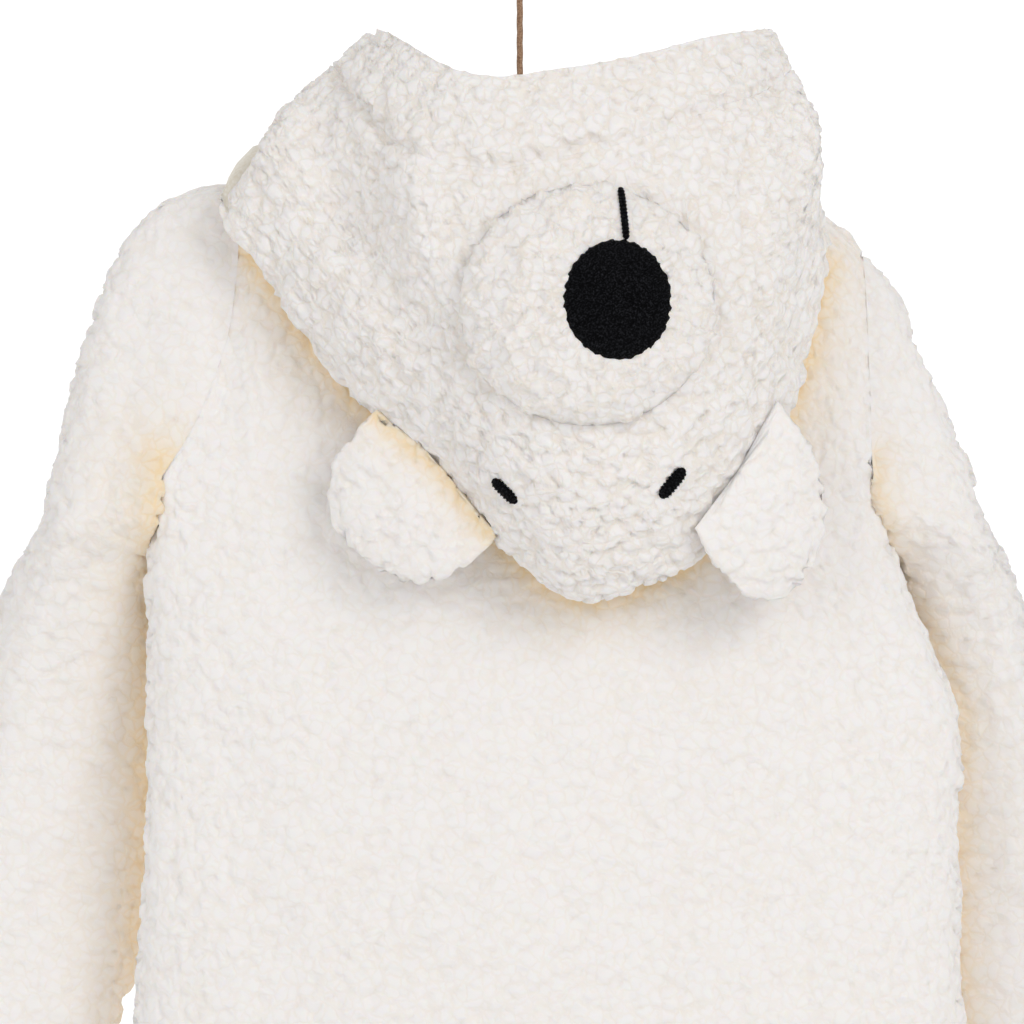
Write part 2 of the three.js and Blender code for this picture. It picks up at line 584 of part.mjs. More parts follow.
// The path of the hood's cloth at one station: up from the neck seam, over, down behind, round the crown
// edge and up again to the rim; round the sides and front it only rises to the rim.
function hoodPath(station) {
  const neck = neckPoint(station.around);
  const crown = new THREE.Vector3(station.crownX, station.crownY, station.crownZ);
  const rim = new THREE.Vector3(station.rimX, station.rimY, station.rimZ);
  if (Math.abs(station.around) > 0.55) {
    const bow = new THREE.QuadraticBezierCurve3(neck, crown, rim);
    const grown = (k) => (COLLAR_GROWTH ** k - 1) / (COLLAR_GROWTH ** HOOD_KNOTS - 1);
    return Array.from({ length: HOOD_KNOTS + 1 }, (_, k) => bow.getPoint(grown(k)));
  }
  const overX = THREE.MathUtils.lerp(neck.x, crown.x, 0.12);
  const over = new THREE.Vector3(overX, neck.y + HOOD_ROLL, TOP_Z + HOOD_STAND);
  const lying = THREE.MathUtils.smoothstep(Math.abs(station.around), 0.38, 0.5);
  const hangX = THREE.MathUtils.lerp(neck.x, crown.x, 0.45);
  const freeZ = THREE.MathUtils.lerp(TOP_Z, crown.z, 0.3);
  const hangZ = THREE.MathUtils.lerp(freeZ, ridgeZ(hangX) + HOOD_ABOVE, lying);
  const hangY = THREE.MathUtils.lerp(backY(hangX, hangZ) + HOOD_CLEAR + 4, neck.y + HOOD_ROLL * 1.6, lying);
  const hang = new THREE.Vector3(hangX, hangY, hangZ);
  const lowX = THREE.MathUtils.lerp(neck.x, crown.x, 0.8);
  const lowZ = THREE.MathUtils.lerp(THREE.MathUtils.lerp(TOP_Z, crown.z, 0.78), ridgeZ(lowX) + HOOD_ABOVE, lying);
  const lowY = THREE.MathUtils.lerp(backY(lowX, lowZ) + HOOD_CLEAR, crown.y * 0.65, lying);
  const low = new THREE.Vector3(lowX, lowY, lowZ);
  const cheek = crown.clone().lerp(rim, 0.2).setY(THREE.MathUtils.lerp(station.crownY, station.belly, 0.86));
  const face = crown.clone().lerp(rim, 0.5).setY(station.belly);
  face.x += Math.sign(face.x - SUIT_X) * HOOD_BULGE * Math.min(1, Math.abs(station.around) * 2);
  const hem = rim.clone().lerp(face, station.hem / rim.distanceTo(face));
  hem.y += HEM_BULGE;
  return [neck, over, hang, low, crown, cheek, face, hem, rim];
}

const HOOD_PATHS = HOOD_STATIONS.map(hoodPath);

// Smooth line through a list of points, read at a share of its knots
function smoothBetween(points, at) {
  const last = points.length - 1;
  const i = Math.min(last - 1, Math.max(0, Math.floor(at)));
  const before = points[Math.max(0, i - 1)];
  const after = points[Math.min(last, i + 2)];
  return catmull(before, points[i], points[i + 1], after, at - i);
}

function catmull(a, b, c, d, t) {
  const weights = [
    -0.5 * t + t * t - 0.5 * t ** 3,
    1 - 2.5 * t * t + 1.5 * t ** 3,
    0.5 * t + 2 * t * t - 1.5 * t ** 3,
    -0.5 * t * t + 0.5 * t ** 3,
  ];
  return a.clone().multiplyScalar(weights[0]).addScaledVector(b, weights[1])
    .addScaledVector(c, weights[2]).addScaledVector(d, weights[3]);
}

// A point of the hood: around from -1 to 1, up from 0 at the neck seam to 1 at the rim
function hoodPoint(around, up) {
  const held = THREE.MathUtils.clamp(around, -1, 1);
  let i = 0;
  while (i < HOOD_STATIONS.length - 2 && held > HOOD_STATIONS[i + 1].around) i += 1;
  const from = HOOD_STATIONS[i].around;
  const at = i + (held - from) / (HOOD_STATIONS[i + 1].around - from);
  const knot = THREE.MathUtils.clamp(up, 0, 1) * HOOD_KNOTS;
  const point = smoothBetween(HOOD_PATHS.map((path) => smoothBetween(path, knot)), at);
  if (knot < 1) {
    const seam = smoothBetween(HOOD_PATHS.map((path) => path[0]), at);
    point.addScaledVector(neckPoint(held).sub(seam), (1 - knot) ** 2);
  }
  if (knot > 1 && knot < 5 && point.y > 0) point.y = Math.max(point.y, backY(point.x, point.z) + HOOD_CLEAR);
  const onFace = THREE.MathUtils.smoothstep(up, 0.6, 0.7) * (1 - THREE.MathUtils.smoothstep(up, 0.95, 1.0));
  for (const fold of HOOD_FOLDS) point.y -= onFace * foldDepth(fold, point.x, point.z);
  return point;
}

// Depth of one fold at (x, z): deepest on its line, dying away over its width and past its ends
function foldDepth(fold, x, z) {
  const alongX = fold.toX - fold.fromX;
  const alongZ = fold.toZ - fold.fromZ;
  const length = Math.hypot(alongX, alongZ);
  const share = ((x - fold.fromX) * alongX + (z - fold.fromZ) * alongZ) / (length * length);
  const held = THREE.MathUtils.clamp(share, 0, 1);
  const away = Math.hypot(x - fold.fromX - held * alongX, z - fold.fromZ - held * alongZ);
  return fold.depth * Math.exp(-((away / fold.width) ** 2));
}

const hoodVertex = (around, up) => surfaceVertex(hoodPoint, around, up, 0.006, 0.006, true);

// The hood's face at (x, z), found by stepping from the nearest of its outer vertices
function faceVertex(x, z) {
  let around = 0;
  let up = 0.75;
  for (let step = 0; step < 24; step += 1) {
    const here = hoodPoint(around, up);
    const alongAround = hoodPoint(around + 0.004, up).sub(hoodPoint(around - 0.004, up)).divideScalar(0.008);
    const alongUp = hoodPoint(around, up + 0.004).sub(hoodPoint(around, up - 0.004)).divideScalar(0.008);
    const det = alongAround.x * alongUp.z - alongUp.x * alongAround.z;
    const offX = x - here.x;
    const offZ = z - here.z;
    around += THREE.MathUtils.clamp((offX * alongUp.z - offZ * alongUp.x) / det, -0.1, 0.1);
    const climb = THREE.MathUtils.clamp((offZ * alongAround.x - offX * alongAround.z) / det, -0.05, 0.05);
    up = THREE.MathUtils.clamp(up + climb, 0.52, 0.995);
  }
  return hoodVertex(around, up);
}

const move = (vertex, distance) =>
  ({ point: vertex.point.clone().addScaledVector(vertex.normal, distance), normal: vertex.normal });

function addHood() {
  const half = HOOD_CENTRE_HALF;
  const collar = shoulderZ.filter((z) => z < TOP_Z && z >= NECK_FRONT_Z).map((z) =>
    0.5 + 0.5 * Math.asin((TOP_Z - z) / (TOP_Z - NECK_FRONT_Z) * Math.sin(NECK_END)) / NECK_END);
  const left = [...spread(half, 0.5, 7, 1), 0.505, ...collar];
  const sides = left.length;
  const across = 8;
  const right = left.map((around) => -around).reverse();
  const arounds = [...right, ...spread(-half, half, across), ...left];
  const ups = [...spread(0, HOOD_RIM_FROM, HOOD_UP_STEPS), ...spread(HOOD_RIM_FROM, 1, 3, 1)];
  const grid = ups.map((up) => arounds.map((around) => ({ ...hoodVertex(around, up), up, around })));
  const cloth = grid.slice(0, HOOD_UP_STEPS + 1);
  const pieces = [
    ['hood_right', 0, sides],
    ['hood_centre', sides, sides + across],
    ['hood_left', sides + across, 2 * sides + across],
  ];
  for (const [name, from, to] of pieces) {
    const quads = [];
    addPatch(quads, cloth.map((row) => row.slice(from, to + 1)));
    const strip = solidOf(wallGeometry(quads, HOOD_CLOTH));
    const trimmed = blanks.reduce((solid, blank) => solid.subtract(blank), strip);
    addMesh(name, geometryOf(trimmed), FLEECE, 0.95);
  }
  const rim = [];
  addPatch(rim, grid.slice(HOOD_UP_STEPS));
  const raised = ({ up, around }) => (up > HOOD_RIM_FROM && Math.abs(around) < 0.5 ? RIM_RAISE : 0);
  addMesh('hood_rim', wallGeometry(rim, HOOD_CLOTH, raised), FLEECE, 0.95);
}

// Round patch on a surface: vertexAt is the surface at an offset from the middle, height what stands on it
function addPad(name, vertexAt, half, height, color, roughness, rings = 6, steps = 28) {
  const rows = [];
  for (let ring = 0; ring <= rings; ring += 1) {
    const share = ring / rings;
    const row = [];
    for (let k = 0; k < steps; k += 1) {
      const angle = 2 * Math.PI * k / steps;
      const vertex = vertexAt(half.x * share * Math.cos(angle), half.z * share * Math.sin(angle));
      vertex.share = share;
      row.push(vertex);
      if (ring === 0) break;
    }
    rows.push(row);
  }
  const quads = [];
  for (let k = 0; k < steps; k += 1) quads.push([rows[0][0], rows[1][(k + 1) % steps], rows[1][k]]);
  for (let ring = 1; ring < rings; ring += 1) {
    for (let k = 0; k < steps; k += 1) {
      const next = (k + 1) % steps;
      quads.push([rows[ring][k], rows[ring][next], rows[ring + 1][next], rows[ring + 1][k]]);
    }
  }
  const facing = quads.map((quad) => {
    const [a, b, c] = quad.map((vertex) => vertex.point);
    const normal = new THREE.Vector3().crossVectors(b.clone().sub(a), c.clone().sub(a));
    return normal.dot(quad[0].normal) < 0 ? [...quad].reverse() : quad;
  });
  addMesh(name, wallGeometry(facing, 0, (vertex) => height(vertex.share)), color, roughness);
}

// Height of the muzzle at a share of the way to its edge: full at the middle, falling steeply at the end
function muzzleHeight(share) {
  return MUZZLE_EDGE + (MUZZLE_DEPTH - MUZZLE_EDGE) * Math.pow(Math.max(0, 1 - share ** 2.6), 0.75);
}

function muzzleTop(x, z) {
  const share = Math.min(1, Math.hypot((x - MUZZLE_X) / (MUZZLE_WIDTH / 2), (z - MUZZLE_Z) / (MUZZLE_HEIGHT / 2)));
  return move(faceVertex(x, z), LIE_GAP + muzzleHeight(share));
}

// Short stitched stroke that lies on a surface, between two points of the view from behind
function addStroke(name, surface, stroke, height) {
  const alongX = stroke.toX - stroke.fromX;
  const alongZ = stroke.toZ - stroke.fromZ;
  const length = Math.hypot(alongX, alongZ);
  const acrossX = -alongZ / length * stroke.width / 2;
  const acrossZ = alongX / length * stroke.width / 2;
  const rows = spread(0, 1, 5).map((share) => spread(-1, 1, 2).map((side) => move(surface(
    stroke.fromX + alongX * share + acrossX * side,
    stroke.fromZ + alongZ * share + acrossZ * side,
  ), LIE_GAP)));
  const quads = [];
  addPatch(quads, rows);
  addMesh(name, wallGeometry(quads, 0, () => height), BLACK, 0.8);
}

// Padded ear: it grows out of a stretch of the hood's surface, widens, and ends in a round edge
function addEar(name, ear) {
  const root = (across) => {
    const share = (across + 1) / 2;
    const around = THREE.MathUtils.lerp(ear.aroundFrom, ear.aroundTo, share);
    return move(hoodVertex(around, THREE.MathUtils.lerp(ear.upFrom, ear.upTo, share)), ear.clear);
  };
  const from = root(-1).point;
  const to = root(1).point;
  const middle = from.clone().lerp(to, 0.5);
  const half = to.clone().sub(from).multiplyScalar(0.5);
  const out = new THREE.Vector3(ear.outX, ear.outY, ear.outZ).normalize();
  const surface = (across, down) => {
    const swell = 1 + ear.widen * Math.sin(Math.PI * Math.min(1, down * 0.9));
    const width = swell * Math.pow(Math.max(0, 1 - down ** 3), 0.45);
    const held = Math.max(0.12, width);
    const straight = middle.clone().addScaledVector(half, across);
    const point = middle.clone().addScaledVector(half, across * held).addScaledVector(out, ear.length * down);
    point.add(root(across).point.sub(straight).multiplyScalar((1 - down) ** 3));
    point.y += ear.cup * down * (1 - across * across * 0.8) - ear.drop * down * down;
    point.y = Math.max(point.y, backY(point.x, point.z) + ear.thick / 2 + HOOD_CLEAR);
    return point;
  };
  const turned = new THREE.Vector3().crossVectors(half, out).y > 0;
  const rows = spread(0, 0.99, 9).map((down) => spread(-1, 1, 8).map((across) => {
    const vertex = surfaceVertex(surface, across, down, 0.01, 0.005, !turned);
    vertex.thick = ear.thick * (0.45 + 0.55 * Math.sqrt(Math.max(0, (1 - across ** 4) * (1 - down ** 4))));
    return vertex;
  }));
  const quads = [];
  addPatch(quads, rows);
  addMesh(name, wallGeometry(quads, (vertex) => vertex.thick / 2, (vertex) => vertex.thick / 2), FLEECE, 0.95);
}

// Front opening: a band over both front edges, and buttons along it
function frontVertex(x, z) {
  if (z > UNDERARM_Z) return shoulderVertex(-shoulderAngle(x, z), z);
  return bodyVertex(-bodyAngle(x, z), z);
}

function addFastening() {
  const inside = [...shoulderZ, ...bodyZ].filter((z) => z < PLACKET_TOP_Z && z > PLACKET_END_Z);
  const rows = [PLACKET_TOP_Z, ...inside, PLACKET_END_Z].map((z) => spread(-0.5, 0.5, 4)
    .map((across) => move(frontVertex(middleX(z) + across * PLACKET_WIDTH, z), LIE_GAP)));
  const quads = [];
  addPatch(quads, rows);
  addMesh('placket', wallGeometry(quads, 0, () => PLACKET_THICK), FLEECE_DEEP, 0.9);
  spread(BUTTON_FIRST_Z, BUTTON_LAST_Z, BUTTON_COUNT - 1).forEach((z, i) => {
    const seat = frontVertex(middleX(z), z);
    const disc = new THREE.CylinderGeometry(BUTTON_D / 2, BUTTON_D / 2, BUTTON_THICK, 20);
    const mesh = addMesh(`button_${i + 1}`, disc, WOOD, 0.5);
    mesh.quaternion.setFromUnitVectors(new THREE.Vector3(0, 1, 0), seat.normal);
    mesh.position.copy(move(seat, 2 * LIE_GAP + PLACKET_THICK + BUTTON_THICK / 2).point);
  });
}

// Hanger inside the shoulders: its arms follow the shoulder line, and its hump stands in the neck
function hangerTopZ(x) {
  const hump = HANGER_HUMP_Z - (x / HANGER_HUMP_HALF) ** 2 * (HANGER_HUMP_Z - HANGER_FOOT_Z);
  return Math.max(Math.min(ridgeZ(x), TOP_Z) - HANGER_BELOW, hump);
}

function addHanger() {
  const outline = new THREE.Shape();
  const xs = spread(-HANGER_REACH, HANGER_REACH, 42);
  outline.moveTo(xs[0], hangerTopZ(xs[0]) - HANGER_HEIGHT * HANGER_TIP_DROP);
  for (const x of xs.slice(1, -1)) outline.lineTo(x, hangerTopZ(x));
  outline.lineTo(HANGER_REACH, hangerTopZ(HANGER_REACH) - HANGER_HEIGHT * HANGER_TIP_DROP);
  for (const x of [...xs.slice(1, -1)].reverse()) {
    outline.lineTo(x, Math.min(hangerTopZ(x), ridgeZ(x) - HANGER_BELOW) - HANGER_HEIGHT);
  }
  const bar = new THREE.ExtrudeGeometry(outline, { depth: HANGER_THICK, bevelEnabled: false });
  bar.rotateX(Math.PI / 2).translate(0, HANGER_THICK / 2, 0);
  const bore = new THREE.CylinderGeometry(TWINE_D / 2 + SEAM_GAP, TWINE_D / 2 + SEAM_GAP, 80, 12);
  bore.rotateX(Math.PI / 2).translate(0, 0, HANGER_HUMP_Z - 20);
  addMesh('hanger', geometryOf(solidOf(bar).subtract(solidOf(bore))), WOOD, 0.55);
}

// Twine from its knot under the hanger, through it, up to the knot below the loop, which hangs at the origin
function addTwine() {
  const hangerFoot = Math.min(hangerTopZ(0), TOP_Z - HANGER_BELOW) - HANGER_HEIGHT;
  const loopZ = TWINE_D / 2 - LOOP_R;
  const loop = new THREE.TorusGeometry(LOOP_R, TWINE_D / 2, 8, 28).rotateX(Math.PI / 2).translate(0, 0, loopZ);
  addMesh('twine_loop', loop, JUTE, 0.9);
  const knotZ = loopZ - LOOP_R - TWINE_D / 2 - SEAM_GAP - KNOT_R * 0.95;
  const knot = () => new THREE.SphereGeometry(KNOT_R, 12, 8).rotateX(Math.PI / 2);
  addMesh('knot_top', knot().translate(0, 0, knotZ), JUTE, 0.9);
  const footKnotZ = hangerFoot - SEAM_GAP - KNOT_R;
  addMesh('knot_foot', knot().translate(0, 0, footKnotZ), JUTE, 0.9);
  const section = new THREE.Shape(spread(0, 2 * Math.PI, 8, 1)
    .map((angle) => new THREE.Vector2(Math.cos(angle), Math.sin(angle)).multiplyScalar(TWINE_D / 2)));
  const from = new THREE.Vector3(0, 0, footKnotZ + KNOT_R + SEAM_GAP);
  const to = new THREE.Vector3(0, 0, knotZ - KNOT_R - SEAM_GAP);
  const tube = new THREE.ExtrudeGeometry(section, { steps: 10, extrudePath: new THREE.LineCurve3(from, to) });
  addMesh('twine', tube, JUTE, 0.9);
}

addBody();
addSleeve('sleeve_left', 1, SLEEVE_LEFT_ROWS, CAP_TOP_LEFT);
addSleeve('sleeve_right', -1, SLEEVE_RIGHT_ROWS, CAP_TOP_RIGHT);

addHood();
addPad('muzzle', (x, z) => move(faceVertex(MUZZLE_X + x, MUZZLE_Z + z), LIE_GAP),
  { x: MUZZLE_WIDTH / 2, z: MUZZLE_HEIGHT / 2 }, muzzleHeight, FLEECE, 0.95);
addPad('nose', (x, z) => move(muzzleTop(NOSE_X + x, NOSE_Z + z), LIE_GAP),
  { x: NOSE_WIDTH / 2, z: NOSE_HEIGHT / 2 }, () => NOSE_STITCH, BLACK, 0.8, 4, 24);
addStroke('mouth', muzzleTop, MOUTH, NOSE_STITCH);
addStroke('eye_left', faceVertex, EYE_LEFT, NOSE_STITCH);
addStroke('eye_right', faceVertex, EYE_RIGHT, NOSE_STITCH);
addEar('ear_left', EAR_LEFT);
addEar('ear_right', EAR_RIGHT);
addFastening();
addHanger();
addTwine();

export default group;
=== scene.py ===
import json
import math

import bpy
import numpy as np
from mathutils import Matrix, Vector

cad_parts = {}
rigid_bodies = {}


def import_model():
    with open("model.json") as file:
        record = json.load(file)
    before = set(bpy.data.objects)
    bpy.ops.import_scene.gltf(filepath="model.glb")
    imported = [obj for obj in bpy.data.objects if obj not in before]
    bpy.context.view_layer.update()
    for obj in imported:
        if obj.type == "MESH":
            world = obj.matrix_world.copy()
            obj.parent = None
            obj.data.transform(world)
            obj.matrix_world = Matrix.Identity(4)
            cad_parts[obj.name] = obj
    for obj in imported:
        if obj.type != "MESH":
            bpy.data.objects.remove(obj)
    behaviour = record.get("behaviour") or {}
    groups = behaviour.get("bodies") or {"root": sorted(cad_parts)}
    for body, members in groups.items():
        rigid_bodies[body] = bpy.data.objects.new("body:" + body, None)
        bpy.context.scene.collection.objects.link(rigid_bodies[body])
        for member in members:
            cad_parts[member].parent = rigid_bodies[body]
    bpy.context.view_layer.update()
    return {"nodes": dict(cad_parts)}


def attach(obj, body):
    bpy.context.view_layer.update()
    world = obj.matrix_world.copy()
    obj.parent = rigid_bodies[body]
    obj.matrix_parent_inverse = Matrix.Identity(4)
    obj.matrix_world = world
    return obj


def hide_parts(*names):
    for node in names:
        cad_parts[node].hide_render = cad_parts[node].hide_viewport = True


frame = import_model()

# Camera. The garment is seen square from behind, its back filling the picture from the hood's peak down to
# below the waist, through a long lens that keeps its sides parallel. All sizes below are in millimetres.
MM = 0.001
VIEW_X, VIEW_Z = 3.0, -224.6
VIEW_WIDTH = 389.1
CLOTH_Y = 62.0
VIEW_DISTANCE = 6000.0
SENSOR = 36.0

camera_data = bpy.data.cameras.new("camera")
camera_data.sensor_width = SENSOR
camera_data.lens = SENSOR * VIEW_DISTANCE / VIEW_WIDTH
camera = bpy.data.objects.new("camera", camera_data)
camera.location = (VIEW_X * MM, (CLOTH_Y + VIEW_DISTANCE) * MM, VIEW_Z * MM)
camera.rotation_euler = (math.pi / 2, 0, math.pi)
bpy.context.scene.collection.objects.link(camera)
bpy.context.scene.camera = camera
bpy.context.scene.view_settings.view_transform = "Standard"

# Studio. White surroundings, a broad soft light above and to the right of the camera, a weaker one on the
# left, and a pale floor well below the garment's hems.
FLOOR_Z = -1000.0
FLOOR_HALF = 2500.0
LIGHTS = (
    {"name": "key", "at": (-1500.0, 2300.0, 900.0), "size": 1.6, "power": 22.0, "aim_z": -250.0},
    {"name": "fill", "at": (1700.0, 1900.0, 300.0), "size": 2.0, "power": 9.0, "aim_z": -250.0},
    {"name": "front", "at": (400.0, -2500.0, 700.0), "size": 2.0, "power": 26.0, "aim_z": -350.0},
)


def aimed(at, target):
    """Rotation that points an object's -Z from one place at another, with its Y upwards."""
    return (Vector(target) - Vector(at)).to_track_quat("-Z", "Y").to_euler()


for row in LIGHTS:
    lamp = bpy.data.lights.new(row["name"], "AREA")
    lamp.shape = "DISK"
    lamp.size = row["size"]
    lamp.energy = row["power"]
    lamp.color = (1.0, 0.995, 0.985)
    lamp_object = bpy.data.objects.new(row["name"], lamp)
    lamp_object.location = [value * MM for value in row["at"]]
    lamp_object.rotation_euler = aimed(row["at"], (0.0, 0.0, row["aim_z"]))
    bpy.context.scene.collection.objects.link(lamp_object)

WORLD_LIGHT, WORLD_SEEN = 0.635, 1.15     # the light that the surroundings give, and how bright they look
WHITE = (1, 1, 1, 1)


def add_node(nodes, kind, values=(), **settings):
    """A new shader node of this kind, with its settings, then values for its inputs by name or place."""
    node = nodes.new(f"ShaderNode{kind}")
    for name, value in settings.items():
        setattr(node, name, value)
    for name, value in dict(values).items():
        node.inputs[name].default_value = value
    return node


def wire(link, *rows):
    """A link for each row: a node and its output, then the next node and its input."""
    for source, leaving, target, entering in rows:
        link(source.outputs[leaving], target.inputs[entering])


world = bpy.data.worlds.new("surroundings")
world.use_nodes = True
bpy.context.scene.world = world
sky = world.node_tree.nodes
sky["Background"].inputs["Color"].default_value = WHITE
sky["Background"].inputs["Strength"].default_value = WORLD_LIGHT
light_path = add_node(sky, "LightPath")
seen = add_node(sky, "Background", {"Color": WHITE, "Strength": WORLD_SEEN})
mixed = add_node(sky, "MixShader")
wire(world.node_tree.links.new, (light_path, "Is Camera Ray", mixed, "Fac"),
     (sky["Background"], "Background", mixed, 1), (seen, "Background", mixed, 2),
     (mixed, "Shader", sky["World Output"], "Surface"))


def add_mesh(name, points, faces, stage=False):
    """Mesh object from points in millimetres and rows of corners. A quad with a doubled corner, as round a
    pole, becomes a triangle. A piece rides on the one body."""
    mesh = bpy.data.meshes.new(name)
    kept = faces != np.roll(faces, -1, axis=1)
    sizes = kept.sum(axis=1)
    kept, faces, sizes = kept[sizes > 2], faces[sizes > 2], sizes[sizes > 2]
    corners = faces[kept].astype(np.int32)
    mesh.vertices.add(len(points))
    mesh.vertices.foreach_set("co", (points * MM).astype(np.float32).ravel())
    mesh.loops.add(len(corners))
    mesh.loops.foreach_set("vertex_index", corners)
    mesh.polygons.add(len(faces))
    mesh.polygons.foreach_set("loop_start", (np.cumsum(sizes) - sizes).astype(np.int32))
    mesh.update(calc_edges=True)
    mesh.validate()
    mesh.shade_smooth()
    piece = bpy.data.objects.new(name, mesh)
    bpy.context.scene.collection.objects.link(piece)
    if stage:
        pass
    else:
        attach(piece, "root")
    return piece


def new_material(name, roughness):
    """A material with its Principled shader, ready to be wired."""
    material = bpy.data.materials.new(name)
    material.use_nodes = True
    shader = material.node_tree.nodes["Principled BSDF"]
    shader.inputs["Roughness"].default_value = roughness
    return material, material.node_tree.nodes, material.node_tree.links.new, shader


def ramp_node(nodes, *stops):
    """A colour ramp between two stops, each a place from 0 to 1 and its colour."""
    ramp = nodes.new("ShaderNodeValToRGB")
    for element, (position, colour) in zip(ramp.color_ramp.elements, stops):
        element.position = position
        element.color = (*colour, 1)
    return ramp


def grained_material(name, roughness, texture, low, high, kind="TexNoise", stretch=None, bump=None, sheen=0):
    """A material of one texture on Object coordinates, scaled where stretch is given. It runs through a ramp
    from the stop low to the stop high, and drives a bump of (strength, distance in metres)."""
    material, nodes, link, shader = new_material(name, roughness)
    shader.inputs["Sheen Weight"].default_value = sheen
    place, grain = add_node(nodes, "TexCoord"), add_node(nodes, kind, texture)
    ramp = ramp_node(nodes, low, high)
    leaving = "Distance" if kind == "TexVoronoi" else "Fac"
    if stretch:
        scaled = add_node(nodes, "Mapping", {"Scale": stretch})
        wire(link, (place, "Object", scaled, "Vector"), (scaled, "Vector", grain, "Vector"))
    else:
        wire(link, (place, "Object", grain, "Vector"))
    wire(link, (grain, leaving, ramp, "Fac"), (ramp, "Color", shader, "Base Color"))
    if bump:
        relief = add_node(nodes, "Bump", dict(zip(("Strength", "Distance"), bump)))
        wire(link, (grain, leaving, relief, "Height"), (relief, "Normal", shader, "Normal"))
    return material


floor_corners = np.array([[-1, -1, 0], [1, -1, 0], [1, 1, 0], [-1, 1, 0]], dtype=float) * FLOOR_HALF
floor = add_mesh("floor", floor_corners + [0, 0, FLOOR_Z], np.array([[0, 1, 2, 3]]), stage=True)
floor.data.materials.append(grained_material("pale_floor", 0.9, {"Scale": 3.0}, (0, (0.86, 0.86, 0.86)),
                                             (1, (0.9, 0.9, 0.9))))

# Twine. Three-strand jute that carries the hanger: knotted under it, up through its middle, and tied to a
# loop at the top. It hangs taut between its two knots, and the loop goes over a nail.
TWINE_D = 2.5
TWINE_FOOT_Z = -110.0
TWINE_TOP_Z = -25.2
LOOP_R = 9.0
LOOP_Z = TWINE_D / 2 - LOOP_R
KNOT_R = 3.4
KNOT_TOP_Z = -21.5
KNOT_FOOT_Z = -113.7
LAY_LENGTH = 7.5
KNOT_STEPS, KNOT_RINGS = 48, 30


def grid_faces(rows, columns, closed=False, flip=False):
    """Quads of a grid of points in reading order. Closed joins the last column to the first."""
    ids = np.arange(rows * columns).reshape(rows, columns)
    if closed:
        ids = np.hstack([ids, ids[:, :1]])
    quads = np.stack([ids[:-1, :-1], ids[1:, :-1], ids[1:, 1:], ids[:-1, 1:]], axis=-1).reshape(-1, 4)
    return quads[:, ::-1] if flip else quads


def xyz(x, y, z):
    """Points from their three coordinates, spread over one another's shapes."""
    return np.stack(np.broadcast_arrays(x, y, z), axis=-1)


def close_ends(points, rows, around, poles):
    """A tube's rings of points and their quads, closed by a fan to one pole at each end."""
    first = np.arange(around)
    last = first + (rows - 1) * around
    pole = np.full(around, rows * around)
    fans = (np.stack([pole, first, np.roll(first, -1), pole], axis=-1),
            np.stack([pole + 1, np.roll(last, -1), last, pole + 1], axis=-1))
    return np.concatenate([points, poles]), np.concatenate([grid_faces(rows, around, closed=True), *fans])


def rope(path, diameter, lay, closed=False, around=30):
    """Tube along a path with the section of three strands: its radius is that of three circles round the
    middle, which turn once in each lay length. Returns points and quads."""
    ahead = np.roll(path, -1, axis=0) - np.roll(path, 1, axis=0) if closed else np.gradient(path, axis=0)
    ahead /= np.linalg.norm(ahead, axis=1, keepdims=True)
    side = np.cross(ahead, [0.0, 1.0, 0.0])
    side /= np.linalg.norm(side, axis=1, keepdims=True)
    up = np.cross(side, ahead)
    steps = np.linalg.norm(np.diff(path, axis=0), axis=1)
    along = np.concatenate([[0.0], np.cumsum(steps)])
    total = along[-1] + (steps[0] if closed else 0)
    turns = max(1, round(total / lay))
    angle = np.linspace(0, 2 * np.pi, around, endpoint=False)
    phase = angle[None, :] + 2 * np.pi * turns / 3 * along[:, None] / total * (3 if closed else 1)
    radius = diameter / 2 * (0.8 + 0.22 * np.abs(np.cos(1.5 * phase)) ** 0.7)
    ring = radius[..., None] * (np.cos(angle)[None, :, None] * side[:, None]
                                + np.sin(angle)[None, :, None] * up[:, None])
    points, rows = (path[:, None] + ring).reshape(-1, 3), len(path)
    if not closed:
        return close_ends(points, rows, around, path[[0, -1]])
    first = np.arange(around)
    last = first + (rows - 1) * around
    joint = np.stack([last, first, np.roll(first, -1), np.roll(last, -1)], axis=-1)
    return points, np.concatenate([grid_faces(rows, around, closed=True), joint])


jute = grained_material("jute_twine", 0.85, {"Scale": 1600.0, "Detail": 4.0}, (0.3, (0.20, 0.10, 0.055)),
                        (0.75, (0.56, 0.36, 0.23)), bump=(0.8, 0.0003), sheen=0.25)
twine_z = np.linspace(TWINE_FOOT_Z, TWINE_TOP_Z, 120)
twine_path = xyz(0 * twine_z, 0 * twine_z, twine_z)
twine = add_mesh("twine_strands", *rope(twine_path, TWINE_D, LAY_LENGTH))
loop_angle = np.linspace(0, 2 * np.pi, 90, endpoint=False)
loop_path = xyz(LOOP_R * np.sin(loop_angle), 0 * loop_angle, LOOP_Z + LOOP_R * np.cos(loop_angle))
loop = add_mesh("loop_strands", *rope(loop_path, TWINE_D, LAY_LENGTH, closed=True))


